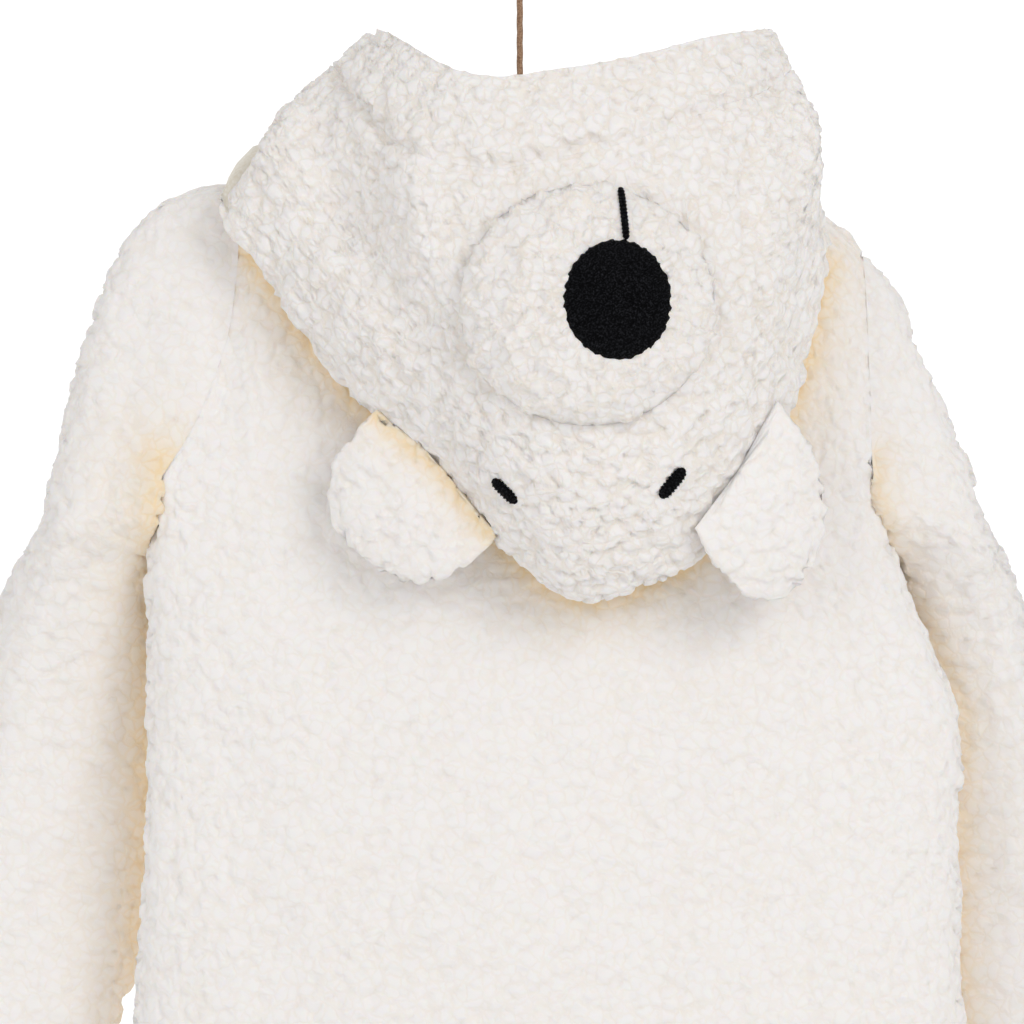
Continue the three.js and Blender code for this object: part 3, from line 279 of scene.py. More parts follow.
def knot_ball(middle_z):
    """Overhand knot pulled tight: a ball whose surface swells and sinks as two bands of twine cross on it."""
    turn = np.linspace(0, 2 * np.pi, KNOT_STEPS, endpoint=False)[None, :]
    rise = np.linspace(0.02, np.pi - 0.02, KNOT_RINGS)[:, None]
    band = np.abs(np.sin(2 * turn + 3 * rise)) ** 0.6
    radius = KNOT_R * (0.84 + 0.16 * band * np.sin(rise))
    points = xyz(radius * np.sin(rise) * np.cos(turn), radius * np.sin(rise) * np.sin(turn),
                 middle_z + radius * np.cos(rise)).reshape(-1, 3)
    poles = np.array([[0, 0, middle_z + KNOT_R * 0.84], [0, 0, middle_z - KNOT_R * 0.84]])
    return close_ends(points, KNOT_RINGS, KNOT_STEPS, poles)


def dress(piece, node, material):
    """A piece takes its material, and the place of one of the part's nodes."""
    piece.data.materials.append(material)
    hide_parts(node)


knots = [add_mesh(name, *knot_ball(z)) for name, z in (("top_knot", KNOT_TOP_Z), ("foot_knot", KNOT_FOOT_Z))]
for piece, node in ((twine, "twine"), (loop, "twine_loop"), (knots[0], "knot_top"), (knots[1], "knot_foot")):
    dress(piece, node, jute)

# Hanger. A flat beech hanger inside the shoulders; only its place under the hood's collar is open to view.
# It keeps its solid's shape, with sanded wood whose grain runs along the arms.
beech = grained_material("beech", 0.5, {"Scale": 1.0, "Detail": 6.0}, (0.3, (0.50, 0.30, 0.14)),
                         (0.7, (0.70, 0.48, 0.27)), stretch=(12.0, 160.0, 160.0), bump=(0.15, 0.0002))


def refinish(node, material):
    """A solid of the part keeps its shape and takes this material in all its slots."""
    mesh = frame["nodes"][node].data
    mesh.materials.clear()
    mesh.materials.append(material)


refinish("hanger", beech)

# Back and fronts. One back panel and two front panels of sherpa fleece, shoulders to hems, that meet at the
# side seams, armholes and crotch. The knitted backing is one thin sheet, and the pile of nubs stands on it.
CLOTH = 4.2                   # backing and pile together, as in the solids
BACKING = 2.0
SEAM_DIP = 0.1                # the pile sinks this far along a seam
FREE_DIP = 2.2                # and this far at a free edge, down to the backing
SHEET_FINE, SHEET_COARSE = 7.0, 9.0       # steps of the backing sheets' grids
PANEL_HALF = 200.0            # about how far a panel runs from side seam to middle
CROTCH_DEPTH = 40.0           # from the crotch's middle to the body's surface
SEEN_Z = -436.0               # the picture's lower edge
BLEND_ABOVE, BLEND_BELOW = 8.0, 22.0      # the shoulders' shape passes into the body's within this stretch
TOP_Z, UNDERARM_Z, CROTCH_Z, HEM_Z = -86.0, -212.0, -525.0, -770.0
NECK_FRONT_Z, NECK_END = -124.0, 1.5
NECK_LEFT_X, NECK_RIGHT_X = 57.0, -61.0
SUIT_X, NECK_X = -13.0, -4.0
SHOULDER_SQUARENESS = 2.6
SHOULDERS = {                 # slices through body and sleeve caps together
    "z":         [-86, -91, -97, -103, -110, -117, -124, -136, -152, -170, -192, -212],
    "left":      [60, 86, 108.6, 130, 143, 148.5, 153, 159, 165, 170.5, 175, 181],
    "right":     [-64, -79, -92, -104, -116, -125.5, -133.6, -142, -150.5, -158, -166, -175],
    "seam_left": [108, 108, 108, 108, 108, 108, 108, 109, 111, 116, 125, 137],
    "seam_right": [-133, -133, -133, -133, -133, -133, -133, -133.5, -134, -134.5, -135, -135],
    "depth":     [7.5, 11.5, 14.5, 17, 20, 22.3, 24.5, 28, 31.5, 34.5, 37.5, 39],
}
BODY = {                      # slices of the body alone: back and front reach from the side seam's y
    "z":      [-212, -226, -245, -270, -300, -345, -400, -450, -495, -525],
    "left":   [137, 138.6, 140.6, 142, 142.5, 143, 146, 149, 150, 150],
    "right":  [-135, -138, -143, -156, -168, -169, -169, -172, -175, -176],
    "seam_y": [0, 4, 9, 13, 14, 14, 12, 8, 4, 0],
    "back":   [39, 35.5, 31.5, 28.5, 28.5, 29.5, 31.5, 35, 38, 40],
    "front":  [39, 43, 49, 55, 57, 58, 57, 52, 46, 42],
    "squareness": [6, 5, 3.6, 2.8, 2.5, 2.4, 2.4, 2.5, 2.8, 3.2],
}
LEGS = {                      # outer and inner edge from the suit's middle
    "z":      [-525, -545, -590, -650, -710, -770],
    "outer":  [163, 163, 160, 156, 150, 143],
    "inner":  [0.5, 2.5, 9, 19, 31, 43],
    "y":      [0, 0, 0, 0, 0, 0],
    "depth":  [41, 40, 38, 36, 33, 30],
    "squareness": [3.2, 3, 2.5, 2.3, 2.2, 2.2],
}
CREASES = (                   # soft troughs and, where the depth is negative, ridges of body and sleeves
    {"from": (107, -104), "to": (113, -188), "depth": 2.4, "width": 7},
    {"from": (-132, -124), "to": (-136, -205), "depth": 2.2, "width": 7},
    {"from": (96, -128), "to": (100, -200), "depth": -1.6, "width": 12},
    {"from": (118, -232), "to": (60, -262), "depth": 2.0, "width": 14},
    {"from": (-112, -240), "to": (-58, -282), "depth": 1.8, "width": 15},
    {"from": (-118, -300), "to": (-96, -400), "depth": 1.8, "width": 14},
    {"from": (112, -320), "to": (88, -420), "depth": 1.6, "width": 16},
    {"from": (20, -300), "to": (4, -430), "depth": -1.4, "width": 26},
    {"from": (-60, -330), "to": (-44, -470), "depth": 1.2, "width": 18},
    {"from": (60, -500), "to": (84, -640), "depth": 2.2, "width": 15},
    {"from": (-96, -498), "to": (-108, -650), "depth": 2.2, "width": 15},
    {"from": (0, -505), "to": (52, -560), "depth": 2.4, "width": 10},
    {"from": (-26, -505), "to": (-74, -566), "depth": 2.4, "width": 10},
    {"from": (139, -212), "to": (140, -250), "depth": -2.2, "width": 8},
    {"from": (-137, -212), "to": (-142, -248), "depth": -2.2, "width": 8},
    {"from": (146, -150), "to": (160, -236), "depth": 1.6, "width": 9},
    {"from": (168, -250), "to": (188, -330), "depth": 2.2, "width": 11},
    {"from": (206, -300), "to": (224, -400), "depth": 1.6, "width": 10},
    {"from": (160, -330), "to": (196, -430), "depth": 1.8, "width": 12},
    {"from": (-150, -160), "to": (-160, -240), "depth": 1.6, "width": 9},
    {"from": (-168, -262), "to": (-184, -330), "depth": 2.2, "width": 11},
    {"from": (-196, -300), "to": (-214, -390), "depth": 1.6, "width": 10},
    {"from": (-172, -340), "to": (-200, -430), "depth": 1.8, "width": 12},
)


def between(table, name, at, key="z"):
    """A table's column read along its key: cubic pieces whose slope at a row is that of its neighbours'
    chord."""
    knots = np.asarray(table[key], dtype=float)
    values = np.asarray(table[name], dtype=float)
    if knots[0] > knots[-1]:
        knots, values = knots[::-1], values[::-1]
    slopes = np.gradient(values, knots)
    at = np.clip(at, knots[0], knots[-1])
    i = np.clip(np.searchsorted(knots, at, side="right") - 1, 0, len(knots) - 2)
    step = knots[i + 1] - knots[i]
    t = (at - knots[i]) / step
    rising = 3 * t ** 2 - 2 * t ** 3
    return (values[i] * (1 - rising) + values[i + 1] * rising
            + step * t * (1 - t) * (slopes[i] * (1 - t) - slopes[i + 1] * t))


def smoothstep(value, low, high):
    """0 below low, 1 above high, and the even curve 3t^2 - 2t^3 between."""
    t = np.clip((value - low) / (high - low), 0, 1)
    return t * t * (3 - 2 * t)


def mix(a, b, share):
    """a and b, weighted 1 - share and share."""
    return a + (b - a) * share


def round_off(share, squareness):
    """What is left of a superellipse's depth at this share of its half width: (1 - share^n)^(1/n)."""
    return np.clip(1 - np.minimum(1, np.abs(share)) ** squareness, 0, 1) ** (1 / squareness)


def middle_x(z):
    """The middle of the suit: under the neck at the top, to one side of the twine below the underarms."""
    return mix(NECK_X, SUIT_X, smoothstep(-z, -NECK_FRONT_Z, -UNDERARM_Z))


def span(left, right):
    """Middle and half width between a left and a right edge."""
    return (left + right) / 2, (left - right) / 2


def shoulder_y(x, z):
    """Depth of the slice through shoulders and caps at x: the slice's depth times the rounded-off share."""
    middle, half = span(between(SHOULDERS, "left", z), between(SHOULDERS, "right", z))
    return between(SHOULDERS, "depth", z) * round_off((x - middle) / half, SHOULDER_SQUARENESS)


def body_span(z):
    """Middle and half width of the body's slice, which ends at the armhole seams above the underarm."""
    edges = []
    for side, nearer in (("left", np.minimum), ("right", np.maximum)):
        seam = nearer(between(SHOULDERS, f"seam_{side}", z), between(SHOULDERS, side, z))
        edges.append(np.where(z > UNDERARM_Z, seam, between(BODY, side, z)))
    return span(*edges)


def body_share(x, z):
    """The share of the body's half width at which x lies, below the shoulders."""
    middle, half = span(between(BODY, "left", z), between(BODY, "right", z))
    return (x - middle) / half


def torso_y(share, z, face):
    """The body's surface at a share of its half width, face 1 behind and -1 in front, where it is fuller."""
    squareness = between(BODY, "squareness", z)
    if face < 0:
        squareness = np.minimum(squareness, squareness * 0.5 + 0.85)
    depth = between(BODY, "back" if face > 0 else "front", z)
    return between(BODY, "seam_y", z) + face * depth * round_off(share, squareness)


def below_arms(z):
    """0 at the height of the shoulders and 1 below the underarms."""
    return smoothstep(-z, -UNDERARM_Z - BLEND_ABOVE, -UNDERARM_Z + BLEND_BELOW)


def body_half(angle, z, face):
    """Half a slice of the body, face 1 behind and -1 in front. Its angle runs from 0 at the wearer's left to
    pi at the right."""
    middle, half = body_span(z)
    share = np.cos(angle)
    x = middle + half * share
    return xyz(x, mix(face * shoulder_y(x, z), torso_y(share, z, face), below_arms(z)), z)


def tube(table, side, offset, angle, z):
    """A sleeve or leg round its own middle by its table's slices: angle 0 outwards, pi / 2 behind."""
    middle, half = span(between(table, "outer", z), between(table, "inner", z))
    depth = between(table, "depth", z) * round_off(np.cos(angle), between(table, "squareness", z))
    y = between(table, "y", z) + np.sign(np.sin(angle)) * depth
    return xyz(offset + side * (middle + half * np.cos(angle)), y, z)


def crease_depth(x, z, creases):
    """How deep the troughs are at (x, z): each its depth times exp(-(distance from its line / width)^2)."""
    total = np.zeros(np.broadcast(x, z).shape)
    for crease in creases:
        (x0, z0), (x1, z1) = crease["from"], crease["to"]
        run = (x1 - x0) ** 2 + (z1 - z0) ** 2
        share = np.clip(((x - x0) * (x1 - x0) + (z - z0) * (z1 - z0)) / run, 0, 1)
        away = np.hypot(x - x0 - share * (x1 - x0), z - z0 - share * (z1 - z0))
        total += crease["depth"] * np.exp(-(away / crease["width"]) ** 2)
    return total


def levels(top, bottom, fine, coarse):
    """Heights from top to bottom, fine apart in the photographed stretch and coarse below the picture."""
    seen = max(bottom, SEEN_Z)
    upper = np.linspace(top, seen, max(2, round((top - seen) / fine) + 1))
    if bottom >= seen:
        return upper
    lower = np.linspace(seen, bottom, max(2, round((seen - bottom) / coarse) + 1))
    return np.concatenate([upper, lower[1:]])


def with_chord(row, end_y, steps):
    """A row of points, carried on from its end in a straight line along y."""
    y = np.linspace(row[0, -1, 1], end_y, steps + 1)[1:]
    return np.concatenate([row, xyz(row[0, -1, 0], y, row[0, -1, 2])[None]], axis=1)


def pass_into(start, own, z, reach):
    """A tube's points that take the x and y of a starting row at their top, and their own this far below."""
    share = smoothstep(-z, -z[0, 0], -z[0, 0] + reach)[..., None]
    return np.concatenate([mix(start[..., :2], own[..., :2], share), own[..., 2:]], axis=-1)


def leg_half(side, face, fine, coarse, columns):
    """Half a leg: its top row is the body's, from the side seam to the middle and across the crotch to y 0,
    and it passes into the leg's own tube within 30 mm."""
    z = np.linspace(CROTCH_Z, HEM_Z, max(2, round((CROTCH_Z - HEM_Z) / coarse) + 1))[:, None]
    crotch = max(3, round(CROTCH_DEPTH / fine / 2))
    middle = np.arccos(body_share(middle_x(CROTCH_Z), CROTCH_Z))
    row = body_half(np.linspace(0.0 if side > 0 else np.pi, middle, columns)[None, :],
                    np.full((1, 1), CROTCH_Z), face)
    corner = np.pi - 0.6
    angle = np.concatenate([np.linspace(0, corner, columns),
                            np.linspace(corner, np.pi, crotch + 1)[1:]])[None, :]
    return pass_into(with_chord(row, 0, crotch), tube(LEGS, side, SUIT_X, face * angle, z), z, 30)


def back_grids(fine, coarse):
    """The back panel: the torso's rear half, and the rear halves of both legs hung on its last row."""
    columns = max(6, round(PANEL_HALF / fine))
    z = levels(TOP_Z, CROTCH_Z, fine, coarse)[:, None]
    middle = np.arccos(body_share(middle_x(z), z))
    way = np.linspace(0, 1, columns)[None, :]
    left = body_half(middle * way, z, 1)
    right = body_half(np.pi - (np.pi - middle) * way, z, 1)[:, ::-1]
    return [(np.concatenate([left, right[:, 1:]], axis=1), False),
            (leg_half(1, 1, fine, coarse, columns), False),
            (leg_half(-1, 1, fine, coarse, columns), True)]


def front_grids(side, fine, coarse):
    """A front panel: from its side seam and armhole to the middle edge, and to the neckline above it."""
    columns = max(6, round(PANEL_HALF / fine))
    z = levels(TOP_Z, CROTCH_Z, fine, coarse)[:, None]
    middle, half = body_span(z)
    down = np.clip((TOP_Z - z) / (TOP_Z - NECK_FRONT_Z), 0, 1) * math.sin(NECK_END)
    neck_x = NECK_LEFT_X if side > 0 else NECK_RIGHT_X
    neckline = middle_x(z) + (neck_x - middle_x(z)) * np.sqrt(1 - down ** 2)
    edge_x = np.where(z > NECK_FRONT_Z, neckline, middle_x(z))
    edge = np.arccos(np.clip((edge_x - middle) / half, -1, 1))
    way = np.linspace(0, 1, columns)[None, :]
    start = 0.0 if side > 0 else np.pi
    panel = body_half(start + (edge - start) * way, z, -1)
    return [(panel, side > 0), (leg_half(side, -1, fine, coarse, columns), side > 0)]


def weld(grids):
    """One list of points and quads from several grids, turned where a grid asks for it. Points that lie in
    the same place become one, and quads that lose a side become triangles with a doubled corner."""
    points, faces, start = [], [], 0
    for grid, flip in grids:
        rows, columns = grid.shape[:2]
        points.append(grid.reshape(-1, 3))
        faces.append(grid_faces(rows, columns, flip=flip) + start)
        start += rows * columns
    points, faces = np.concatenate(points), np.concatenate(faces)
    _, first, which = np.unique(np.round(points, 3), axis=0, return_index=True, return_inverse=True)
    faces = which.reshape(-1)[faces]
    whole = (faces[:, 0] != faces[:, 2]) & (faces[:, 1] != faces[:, 3])
    return points[first], faces[whole]


def normals_of(points, faces):
    """At each point the sum of its quads' area vectors (the cross product of the diagonals), of length 1."""
    corner = points[faces]
    area = np.cross(corner[:, 2] - corner[:, 0], corner[:, 3] - corner[:, 1])
    total = np.stack([sum(np.bincount(faces[:, k], area[:, axis], len(points)) for k in range(4))
                      for axis in range(3)], axis=-1)
    return total / np.maximum(np.linalg.norm(total, axis=1, keepdims=True), 1e-9)


def border_of(points, faces):
    """True at the points of a border: those on an edge that has one face only."""
    edges = np.concatenate([faces[:, [0, 1]], faces[:, [1, 2]], faces[:, [2, 3]], faces[:, [3, 0]]])
    edges = np.sort(edges[edges[:, 0] != edges[:, 1]], axis=1)
    key = edges[:, 0].astype(np.int64) * len(points) + edges[:, 1]
    _, index, count = np.unique(key, return_index=True, return_counts=True)
    lone = np.zeros(len(points), dtype=bool)
    lone[edges[index[count == 1]].ravel()] = True
    return lone


def outwards(points, faces):
    """A closed shell's points and quads, turned round if they face its middle."""
    inside_out = (normals_of(points, faces) * (points - points.mean(axis=0))).sum() < 0
    return points, (faces[:, ::-1] if inside_out else faces)


# Large numbers without a common factor, which scatter each lattice cell's three coordinates into four draws.
SCATTER = np.array([[127.1, 269.5, 113.5, 71.7], [311.7, 183.3, 271.9, 153.1], [74.7, 246.1, 124.6, 91.3]])
SCATTER_GAIN = 43758.5453


def nubs(points, size, seed, stretch=(1.0, 1.0, 1.0)):
    """Height from 0 to 1 of a fleece's nubs. Every cell of a cubic lattice holds a ball at a random place, and
    the height at a point is sqrt(1 - (distance / radius)^2) of the ball that stands highest there."""
    place = points / (size * np.asarray(stretch))
    warp = 0.22 * np.sin(place[:, [1, 2, 0]] * 2.3 + seed) + 0.16 * np.sin(place[:, [2, 0, 1]] * 4.1 - seed)
    place = place + warp
    cell = np.floor(place)
    best = np.zeros(len(points))
    for offset in np.ndindex(3, 3, 3):
        near = cell + (np.array(offset) - 1)
        random = np.sin(near @ SCATTER + seed) * SCATTER_GAIN
        random -= np.floor(random)
        away = np.linalg.norm(place - near - random[:, :3], axis=1)
        radius = 0.5 + 0.36 * random[:, 3]
        best = np.maximum(best, 1 - (away / radius) ** 2)
    return np.sqrt(best)


NUB, NUB_RISE = 5.0, 2.0                  # a nub's size and how high it stands
CLUMP, CLUMP_RISE = 14.0, 1.3             # the same for the broader clumps
STAND_AT_SIDES = 1.3
PILE_LIFT, EAR_LIFT = -0.6, -0.4          # where the nubs' feet lie, from the solids' surface


def fleece_pile(points, faces, lift, creases=(), rise=1.0, free=None):
    """The pile on a cloth's surface: nubs on broader clumps, moved out along the normal and let down a little
    at their tips. It lies flatter by the share rise where the cloth faces back or forward, and stands up at
    its sides. It dips along seams, and rolls in where free says that an edge isn't sewn. Returns the points
    and the height of each, 0 to 1."""
    normal = normals_of(points, faces)
    stand = mix(rise, STAND_AT_SIDES, smoothstep(1 - np.abs(normal[:, 1]), 0.4, 0.9))
    nub = smoothstep(nubs(points, NUB, 1.7, (1.15, 1.0, 0.95)), 0.0, 0.85)
    clump = nubs(points, CLUMP, 4.2)
    small = nubs(points, NUB * 0.52, 8.3)
    height = 0.62 * nub + 0.24 * clump + 0.14 * small
    trough = crease_depth(points[:, 0], points[:, 2], creases) if creases else 0.0
    out = lift - trough + stand * (NUB_RISE * (nub - 0.6) + CLUMP_RISE * (clump - 0.6) + 0.5 * small)
    border = border_of(points, faces)
    out = np.where(border, -SEAM_DIP - trough, out)
    if free is not None:
        out = np.where(border & free(points), -FREE_DIP, out)
    moved = points + normal * out[:, None]
    moved[:, 2] -= stand * 0.7 * nub * np.hypot(normal[:, 0], normal[:, 1])
    return moved, height


def add_attribute(piece, name, values):
    """One number for each point of a piece, which its material reads by name."""
    layer = piece.data.attributes.new(name, "FLOAT", "POINT")
    layer.data.foreach_set("value", np.asarray(values, dtype=np.float32))


def fibre_group():
    """Shader group of what every fleece here shares: pebbles of curled fibre with thin cracks between them. A
    cell texture on wavy coordinates gives the distance to the nearest crack, and a noise gives the fibre. Out
    come the crease mask, 0 in a crack and 1 on a pebble, and the bumped normal."""
    group = bpy.data.node_groups.new("fleece_fibre", "ShaderNodeTree")
    for name in ("Pebble Scale", "Fibre Scale", "Strength"):
        group.interface.new_socket(name, in_out="INPUT", socket_type="NodeSocketFloat")
    group.interface.new_socket("Mask", in_out="OUTPUT", socket_type="NodeSocketFloat")
    group.interface.new_socket("Normal", in_out="OUTPUT", socket_type="NodeSocketVector")
    inside = group.nodes
    entry, leave = inside.new("NodeGroupInput"), inside.new("NodeGroupOutput")
    place = add_node(inside, "TexCoord")
    wave = add_node(inside, "TexNoise", {"Scale": 150.0, "Detail": 3.0})
    centred = add_node(inside, "VectorMath", {1: (0.5, 0.5, 0.5)}, operation="SUBTRACT")
    moved = add_node(inside, "VectorMath", {1: (0.007, 0.007, 0.007)}, operation="MULTIPLY_ADD")
    cells = add_node(inside, "TexVoronoi", feature="DISTANCE_TO_EDGE")
    crack = add_node(inside, "MapRange", {"From Min": 0.0, "From Max": 0.2}, interpolation_type="SMOOTHSTEP")
    curl = add_node(inside, "TexNoise", {"Detail": 5.0, "Roughness": 0.62, "Distortion": 1.6})
    both = add_node(inside, "Math", {1: 0.45}, operation="MULTIPLY_ADD")
    bump = add_node(inside, "Bump", {"Distance": 0.0012})
    wire(group.links.new, (place, "Object", wave, "Vector"), (wave, "Color", centred, 0),
         (centred, "Vector", moved, 0), (place, "Object", moved, 2), (moved, "Vector", cells, "Vector"),
         (entry, "Pebble Scale", cells, "Scale"), (cells, "Distance", crack, "Value"),
         (place, "Object", curl, "Vector"), (entry, "Fibre Scale", curl, "Scale"), (curl, "Fac", both, 0),
         (crack, "Result", both, 2), (both, "Value", bump, "Height"), (entry, "Strength", bump, "Strength"),
         (crack, "Result", leave, "Mask"), (bump, "Normal", leave, "Normal"))
    return group


FIBRE = fibre_group()


def fleece_material(name, crease, strength, crack_shade):
    """Sherpa pile, near white at the nubs' tips. The crease colour is painted shade: it comes in by the given
    share times what the cracks' mask and the attribute height leave below 1, darkening the cracks and low
    places. A second attribute, the closeness of another piece's edge, paints amber shade: it takes the colour
    on to amber, most in the cracks. Light passes a little way into it."""
    material, nodes, link, shader = new_material(name, 0.92)
    fibre = add_node(nodes, "Group", {"Pebble Scale": 200.0, "Fibre Scale": 900.0, "Strength": strength},
                     node_tree=FIBRE)
    tall, amber_shade = (add_node(nodes, "Attribute", attribute_name=key) for key in ("height", "amber_shade"))
    half = add_node(nodes, "Math", {1: 0.65}, operation="MULTIPLY")
    high, low, share, deep, amber_shade_share = (
        add_node(nodes, "Math", values, operation=operation, use_clamp=True) for operation, values in (
            ("MULTIPLY_ADD", {1: 0.5}), ("SUBTRACT", {0: 1.0}), ("MULTIPLY", {1: crack_shade}),
            ("MULTIPLY_ADD", {1: 0.35, 2: 0.65}), ("MULTIPLY", {})))
    # Painted shade: the cream is darker in the cracks and low places of the pile.
    colour = add_node(nodes, "Mix", {6: (*TIP, 1), 7: (*crease, 1)}, data_type="RGBA")
    # Painted amber shade where another piece's edge hangs close.
    amber = add_node(nodes, "Mix", {7: (*SHADE_AMBER, 1)}, data_type="RGBA")
    wire(link, (fibre, "Mask", half, 0), (tall, "Fac", high, 0), (half, "Value", high, 2),
         (high, "Value", low, 1), (low, "Value", share, 0), (low, "Value", deep, 0), (deep, "Value", amber_shade_share, 0),
         (amber_shade, "Fac", amber_shade_share, 1), (share, "Value", colour, 0), (amber_shade_share, "Value", amber, 0),
         (colour, 2, amber, 6), (amber, 2, shader, "Base Color"), (fibre, "Normal", shader, "Normal"))
    for key, value in SOFT_LIGHT.items():
        shader.inputs[key].default_value = value
    return material


TIP = (0.93, 0.90, 0.885)
# Colour of the painted shade in the gaps under another piece's edge.
SHADE_AMBER = (0.93, 0.66, 0.30)
SOFT_LIGHT = {"Subsurface Weight": 0.25, "Subsurface Radius": (1.0, 0.72, 0.45), "Subsurface Scale": 0.0014,
              "Sheen Weight": 0.15, "Sheen Roughness": 0.6, "Specular IOR Level": 0.2}
# The second colour is painted shade for the pile's cracks and low places; the last number is how much of it
# comes in.
FLEECE = fleece_material("sherpa_pile", (0.86, 0.78, 0.68), 0.32, 0.7)
SMOOTH_FLEECE = fleece_material("sherpa_pile_lying", (0.88, 0.80, 0.70), 0.16, 0.42)
# The knitted backing and lining: cream, with courses of fine stitches in colour and bump.
JERSEY = grained_material("cream_jersey", 0.85, {"Scale": 1.0}, (0, (0.90, 0.86, 0.78)),
                          (1, (0.78, 0.71, 0.58)), kind="TexVoronoi", stretch=(900.0, 900.0, 620.0), bump=(0.3, 0.0003), sheen=0.2)


def add_sheet(name, points, faces):
    """A thin closed shell from a coarse surface: the surface sunk by what the pile stands on, with Solidify
    giving it its wall inwards."""
    sunk = points - normals_of(points, faces) * (CLOTH - BACKING)
    sheet = add_mesh(name, sunk, faces)
    wall = sheet.modifiers.new("wall", "SOLIDIFY")
    wall.thickness = BACKING * MM
    wall.offset = -1.0
    sheet.data.materials.append(JERSEY)
    return sheet


def add_pile(node, moved, faces, height, material):
    """A piece's pile as a mesh, with the height of each point as an attribute."""
    pile = add_mesh(f"{node}_pile", moved, faces)
    add_attribute(pile, "height", height)
    pile.data.materials.append(material)
    return pile


def add_fleece(node, grids_at, fine, coarse, creases=(), rise=1.0, smooth=False,
               free=None):
    """One cut piece of fleece in a node's place: its sheet from a coarse grid, its pile from a fine one."""
    points, faces = weld(grids_at(SHEET_FINE, SHEET_COARSE))
    trough = crease_depth(points[:, 0], points[:, 2], creases)[:, None]
    sheet = add_sheet(f"{node}_backing", points - normals_of(points, faces) * trough, faces)
    points, faces = weld(grids_at(fine, coarse))
    moved, height = fleece_pile(points, faces, PILE_LIFT, creases, rise, free)
    pile = add_pile(node, moved, faces, height, SMOOTH_FLEECE if smooth else FLEECE)
    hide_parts(node)


add_fleece("back", back_grids, 1.42, 3.6, CREASES,
           rise=0.45, smooth=True, free=lambda points: points[:, 2] < HEM_Z + 0.1)
for node, side in (("front_left", 1), ("front_right", -1)):
    add_fleece(node, lambda fine, coarse, side=side: front_grids(side, fine, coarse), 2.6, 4.0,
               CREASES, rise=0.6, smooth=True,
               free=lambda points: points[:, 2] < HEM_Z + 0.1)

# Sleeves. Each is one tube of fleece set into its armhole: the cap over the shoulder, then the tube below the
# underarm, which hangs a little forward of the body and ends in a plain open hem.
SLEEVE_LEFT = {
    "z":      [-212, -226, -245, -270, -300, -345, -400, -455],
    "outer":  [181, 185, 194, 204, 214, 229, 247, 264],
    "inner":  [137.4, 139.8, 140, 136, 134, 138, 147, 168],
    "y":      [0, -8, -19, -27, -31, -31, -27, -22],
    "depth":  [38, 36, 33, 30, 27, 23.5, 20.5, 18],
    "squareness": [3.4, 3, 2.4, 2.1, 2, 2, 2, 2],
}
SLEEVE_RIGHT = {
    **SLEEVE_LEFT,
    "outer":  [175, 181, 189, 198, 209, 225, 242, 258],
    "inner":  [135.4, 139.4, 143.5, 147, 151, 154, 161, 176],
    "y":      [0, -8, -20, -31, -36, -36, -30, -24],
}
CAP_TOP_LEFT, CAP_TOP_RIGHT = -97.6, -124.6
CUFF_Z = -455.0
CAP_ROUND, ARMHOLE_CHORD = 96.0, 62.0     # about how far round the cap and across the armhole it is


def sleeve_grids(side, fine, coarse):
    """The cap's grid runs over the shoulder slice from the armhole's back to its front. The tube's grid
    starts as the same curve closed by a chord at the armhole, and passes into its own slices within 34 mm."""
    table, top = (SLEEVE_LEFT, CAP_TOP_LEFT) if side > 0 else (SLEEVE_RIGHT, CAP_TOP_RIGHT)
    around, inner = max(8, round(CAP_ROUND / fine)), max(5, round(ARMHOLE_CHORD / fine))

    def cap(z):
        middle, reach = span(between(SHOULDERS, "left", z), between(SHOULDERS, "right", z))
        seam_x = between(SHOULDERS, "seam_left" if side > 0 else "seam_right", z)
        seam = np.arccos(np.clip((seam_x - middle) / reach, -1, 1))
        way = np.linspace(0, 1, around)[None, :]
        angle = seam * (1 - 2 * way) if side > 0 else seam + (2 * np.pi - 2 * seam) * way
        depth = between(SHOULDERS, "depth", z) * round_off(np.cos(angle), SHOULDER_SQUARENESS)
        return xyz(middle + reach * np.cos(angle), np.sign(np.sin(angle)) * depth, z)

    upper = cap(levels(top, UNDERARM_Z, fine, coarse)[:, None])
    start = with_chord(upper[-1:], upper[-1, 0, 1], inner)
    z = levels(UNDERARM_Z, CUFF_Z, fine, coarse)[:, None]
    corner = np.pi - 0.75
    angle = np.concatenate([np.linspace(corner, -corner, around),
                            np.linspace(-corner, corner - 2 * np.pi, inner + 1)[1:]])[None, :]
    lower = pass_into(start, tube(table, side, 0.0, angle, z), z, 34)
    return [(upper, side > 0), (lower, side > 0)]


for node, side, area in (("sleeve_left", 1, 0.066), ("sleeve_right", -1, 0.054)):
    add_fleece(node, lambda fine, coarse, side=side: sleeve_grids(side, fine, coarse), 1.45, 3.6,
               CREASES, rise=0.5, smooth=True,
               free=lambda points: points[:, 2] < CUFF_Z + 0.1)

